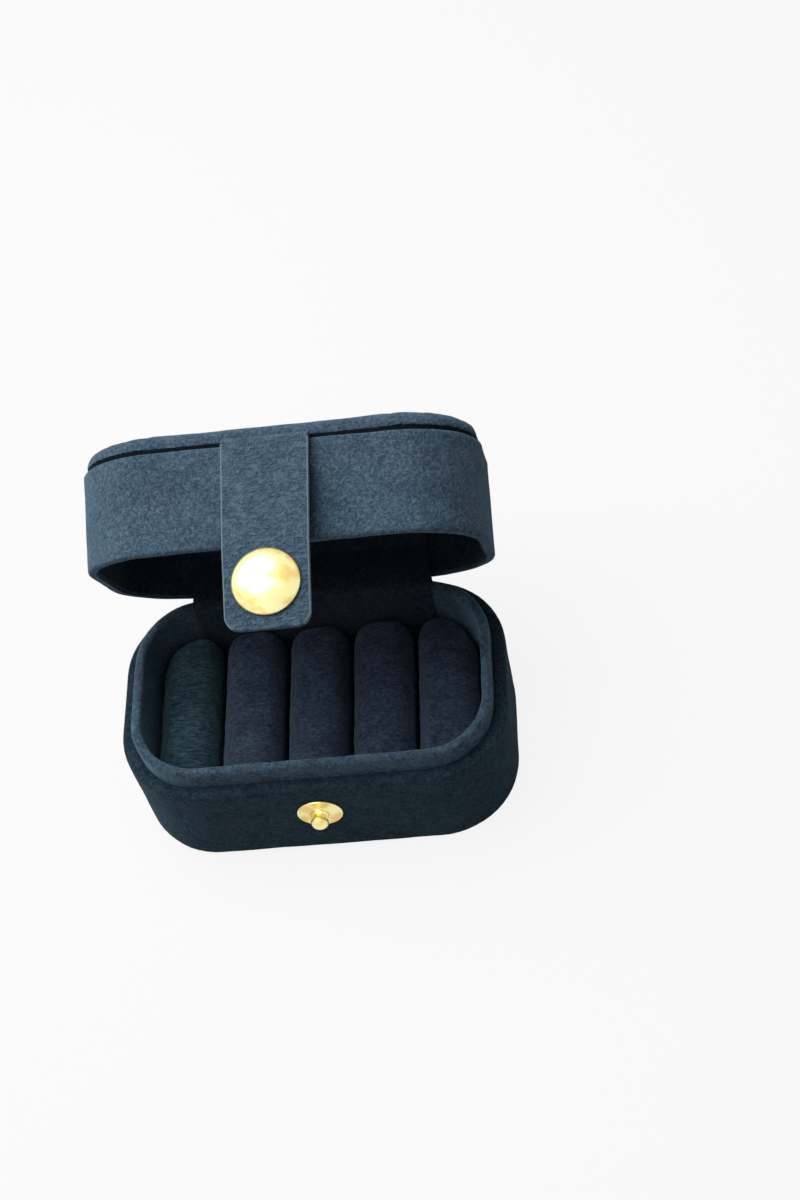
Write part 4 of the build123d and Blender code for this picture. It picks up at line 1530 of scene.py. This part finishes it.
# ------------------------------------------------------------------ shared shapes
def strip(name, path, radii, thickness, width, corner):
    """A band bent along a side view path, its bends rounded and its end corners trimmed round."""
    line = rounded_path(path, radii, 0.5 * MM)
    last = len(line) - 1
    drop_selection()
    bpy.ops.mesh.primitive_grid_add(
        x_subdivisions=40, y_subdivisions=last, size=1.0, location=(0.0, 0.0, 0.0)
    )
    band = named(name)
    far = [0.0]
    for one, two in zip(line, line[1:]):
        far.append(far[-1] + hypot(two[0] - one[0], two[1] - one[1]))
    for vertex in band.data.vertices:
        row = round((vertex.co.y + 0.5) * last)
        trim = corner_trim(min(far[row], far[-1] - far[row]), corner)
        vertex.co = (vertex.co.x * (width - 2 * trim), line[row][0], line[row][1])
    band.data.update()
    ripple(band, (8 * MM, 8 * MM, 8 * MM), 0.06 * MM, shift=5.0)
    apply_modifier(band, "SOLIDIFY", thickness=thickness, offset=0.0)
    soften_edges(band, 0.15 * MM, 50)
    return settle(band)


def corner_trim(to_end, corner):
    """How far a rounded corner draws a band's side in, this far from the band's end."""
    return corner - sqrt(max(corner**2 - max(corner - to_end, 0.0) ** 2, 0.0))


def dress_blend(piece, material, node):
    """Gives a strip that crosses a joint its material, bakes its place into its mesh and hides the
    solid that it stands for.
    """
    paint(piece, material)
    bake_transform(piece)
    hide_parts(node)


def refinish(name, material):
    """Gives a solid that stays a better material."""
    paint(frame["nodes"][name], material)


def rounded_path(corners, radii, step):
    """Points along a side view line whose corners are rounded, about a step apart."""
    points = [Vector(corners[0])]
    for number, radius in enumerate(radii):
        before, here, after = (Vector(corners[number + index]) for index in range(3))
        back, ahead = (before - here).normalized(), (after - here).normalized()
        half = back.angle(ahead) / 2
        reach = radius / tan(half)
        start, end = here + back * reach, here + ahead * reach
        centre = here + (back + ahead).normalized() * (radius / sin(half))
        count = max(4, round(radius * (pi - 2 * half) / step))
        points.append(start)
        for index in range(1, count):
            chord = start.lerp(end, index / count) - centre
            points.append(centre + chord.normalized() * radius)
        points.append(end)
    points.append(Vector(corners[-1]))
    line = [points[0]]
    for point in points[1:]:
        gap = (point - line[-1]).length
        pieces = max(1, round(gap / step))
        last = line[-1]
        for index in range(1, pieces + 1):
            line.append(last.lerp(point, index / pieces))
    return [(point.x, point.y) for point in line]


def strap_length():
    """Length of the strap from its root to its end."""
    box = sizes()
    return root_level() - (box.base_height - box.snap_drop) + box.strap_tab


def strap_side_line(down, offset):
    """How far out and at what level the strap's side line runs, this far down from its root."""
    box = sizes()
    rim = lid_levels()[0]
    lean = box.socket_face + box.socket_height + box.strap_layer - box.strap_off_wall
    drop = root_level() - rim + box.strap_bend_drop
    angle = atan2(lean, drop)
    reach = box.strap_bend * tan(angle / 2)
    run = hypot(lean, drop)
    start = run - reach
    if down <= start:
        out, level, turn = sin(angle) * down, -cos(angle) * down, angle
    elif down <= start + box.strap_bend * angle:
        turned_by = (down - start) / box.strap_bend
        turn = angle - turned_by
        out = sin(angle) * start + box.strap_bend * (cos(turn) - cos(angle))
        level = -cos(angle) * start - box.strap_bend * (sin(angle) - sin(turn))
    else:
        past = down - start - box.strap_bend * angle
        out, level, turn = lean, -drop - reach - past, 0.0
    return out + offset * cos(turn), level + offset * sin(turn)


# ------------------------------------------------------------------ panel and registration
class RINGBOX_PT_panel(bpy.types.Panel):
    """Lists the steps that make the ring box"""

    bl_idname = "RINGBOX_PT_panel"
    bl_label = "Ring Box"
    bl_space_type = "VIEW_3D"
    bl_region_type = "UI"
    bl_category = "Ring Box"

    def draw(self, context):
        column = self.layout.column(align=True)
        for step in STEPS:
            column.operator(step.bl_idname)
        for group in (context.scene.ring_box_sizes, context.scene.ring_box_colours):
            part = self.layout.column()
            for name in group.__annotations__:
                part.prop(group, name)


STEPS = (
    RINGBOX_OT_stage,
    RINGBOX_OT_base_shell,
    RINGBOX_OT_collar,
    RINGBOX_OT_rolls,
    RINGBOX_OT_tray_pad,
    RINGBOX_OT_lid_shell,
    RINGBOX_OT_lid_inside,
    RINGBOX_OT_lid_top,
    RINGBOX_OT_hinge,
    RINGBOX_OT_strap,
    RINGBOX_OT_snap,
    RINGBOX_OT_boards,
)
CLASSES = (RingBoxSizes, RingBoxColours, *STEPS, RINGBOX_PT_panel)


def register():
    """Registers the classes and puts the sizes and colours on the scene."""
    for made in CLASSES:
        bpy.utils.register_class(made)
    bpy.types.Scene.ring_box_sizes = PointerProperty(type=RingBoxSizes)
    bpy.types.Scene.ring_box_colours = PointerProperty(type=RingBoxColours)


def unregister():
    """Takes everything back out in the opposite order."""
    del bpy.types.Scene.ring_box_colours
    del bpy.types.Scene.ring_box_sizes
    for made in reversed(CLASSES):
        bpy.utils.unregister_class(made)


def main():
    """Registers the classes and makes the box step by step."""
    register()
    bpy.ops.ringbox.stage()
    bpy.ops.ringbox.base_shell()
    bpy.ops.ringbox.collar()
    bpy.ops.ringbox.rolls()
    bpy.ops.ringbox.tray_pad()
    bpy.ops.ringbox.lid_shell()
    bpy.ops.ringbox.lid_inside()
    bpy.ops.ringbox.lid_top()
    bpy.ops.ringbox.hinge()
    bpy.ops.ringbox.strap()
    bpy.ops.ringbox.snap()
    bpy.ops.ringbox.boards()
    drop_selection()


if __name__ == "__main__":
    main()
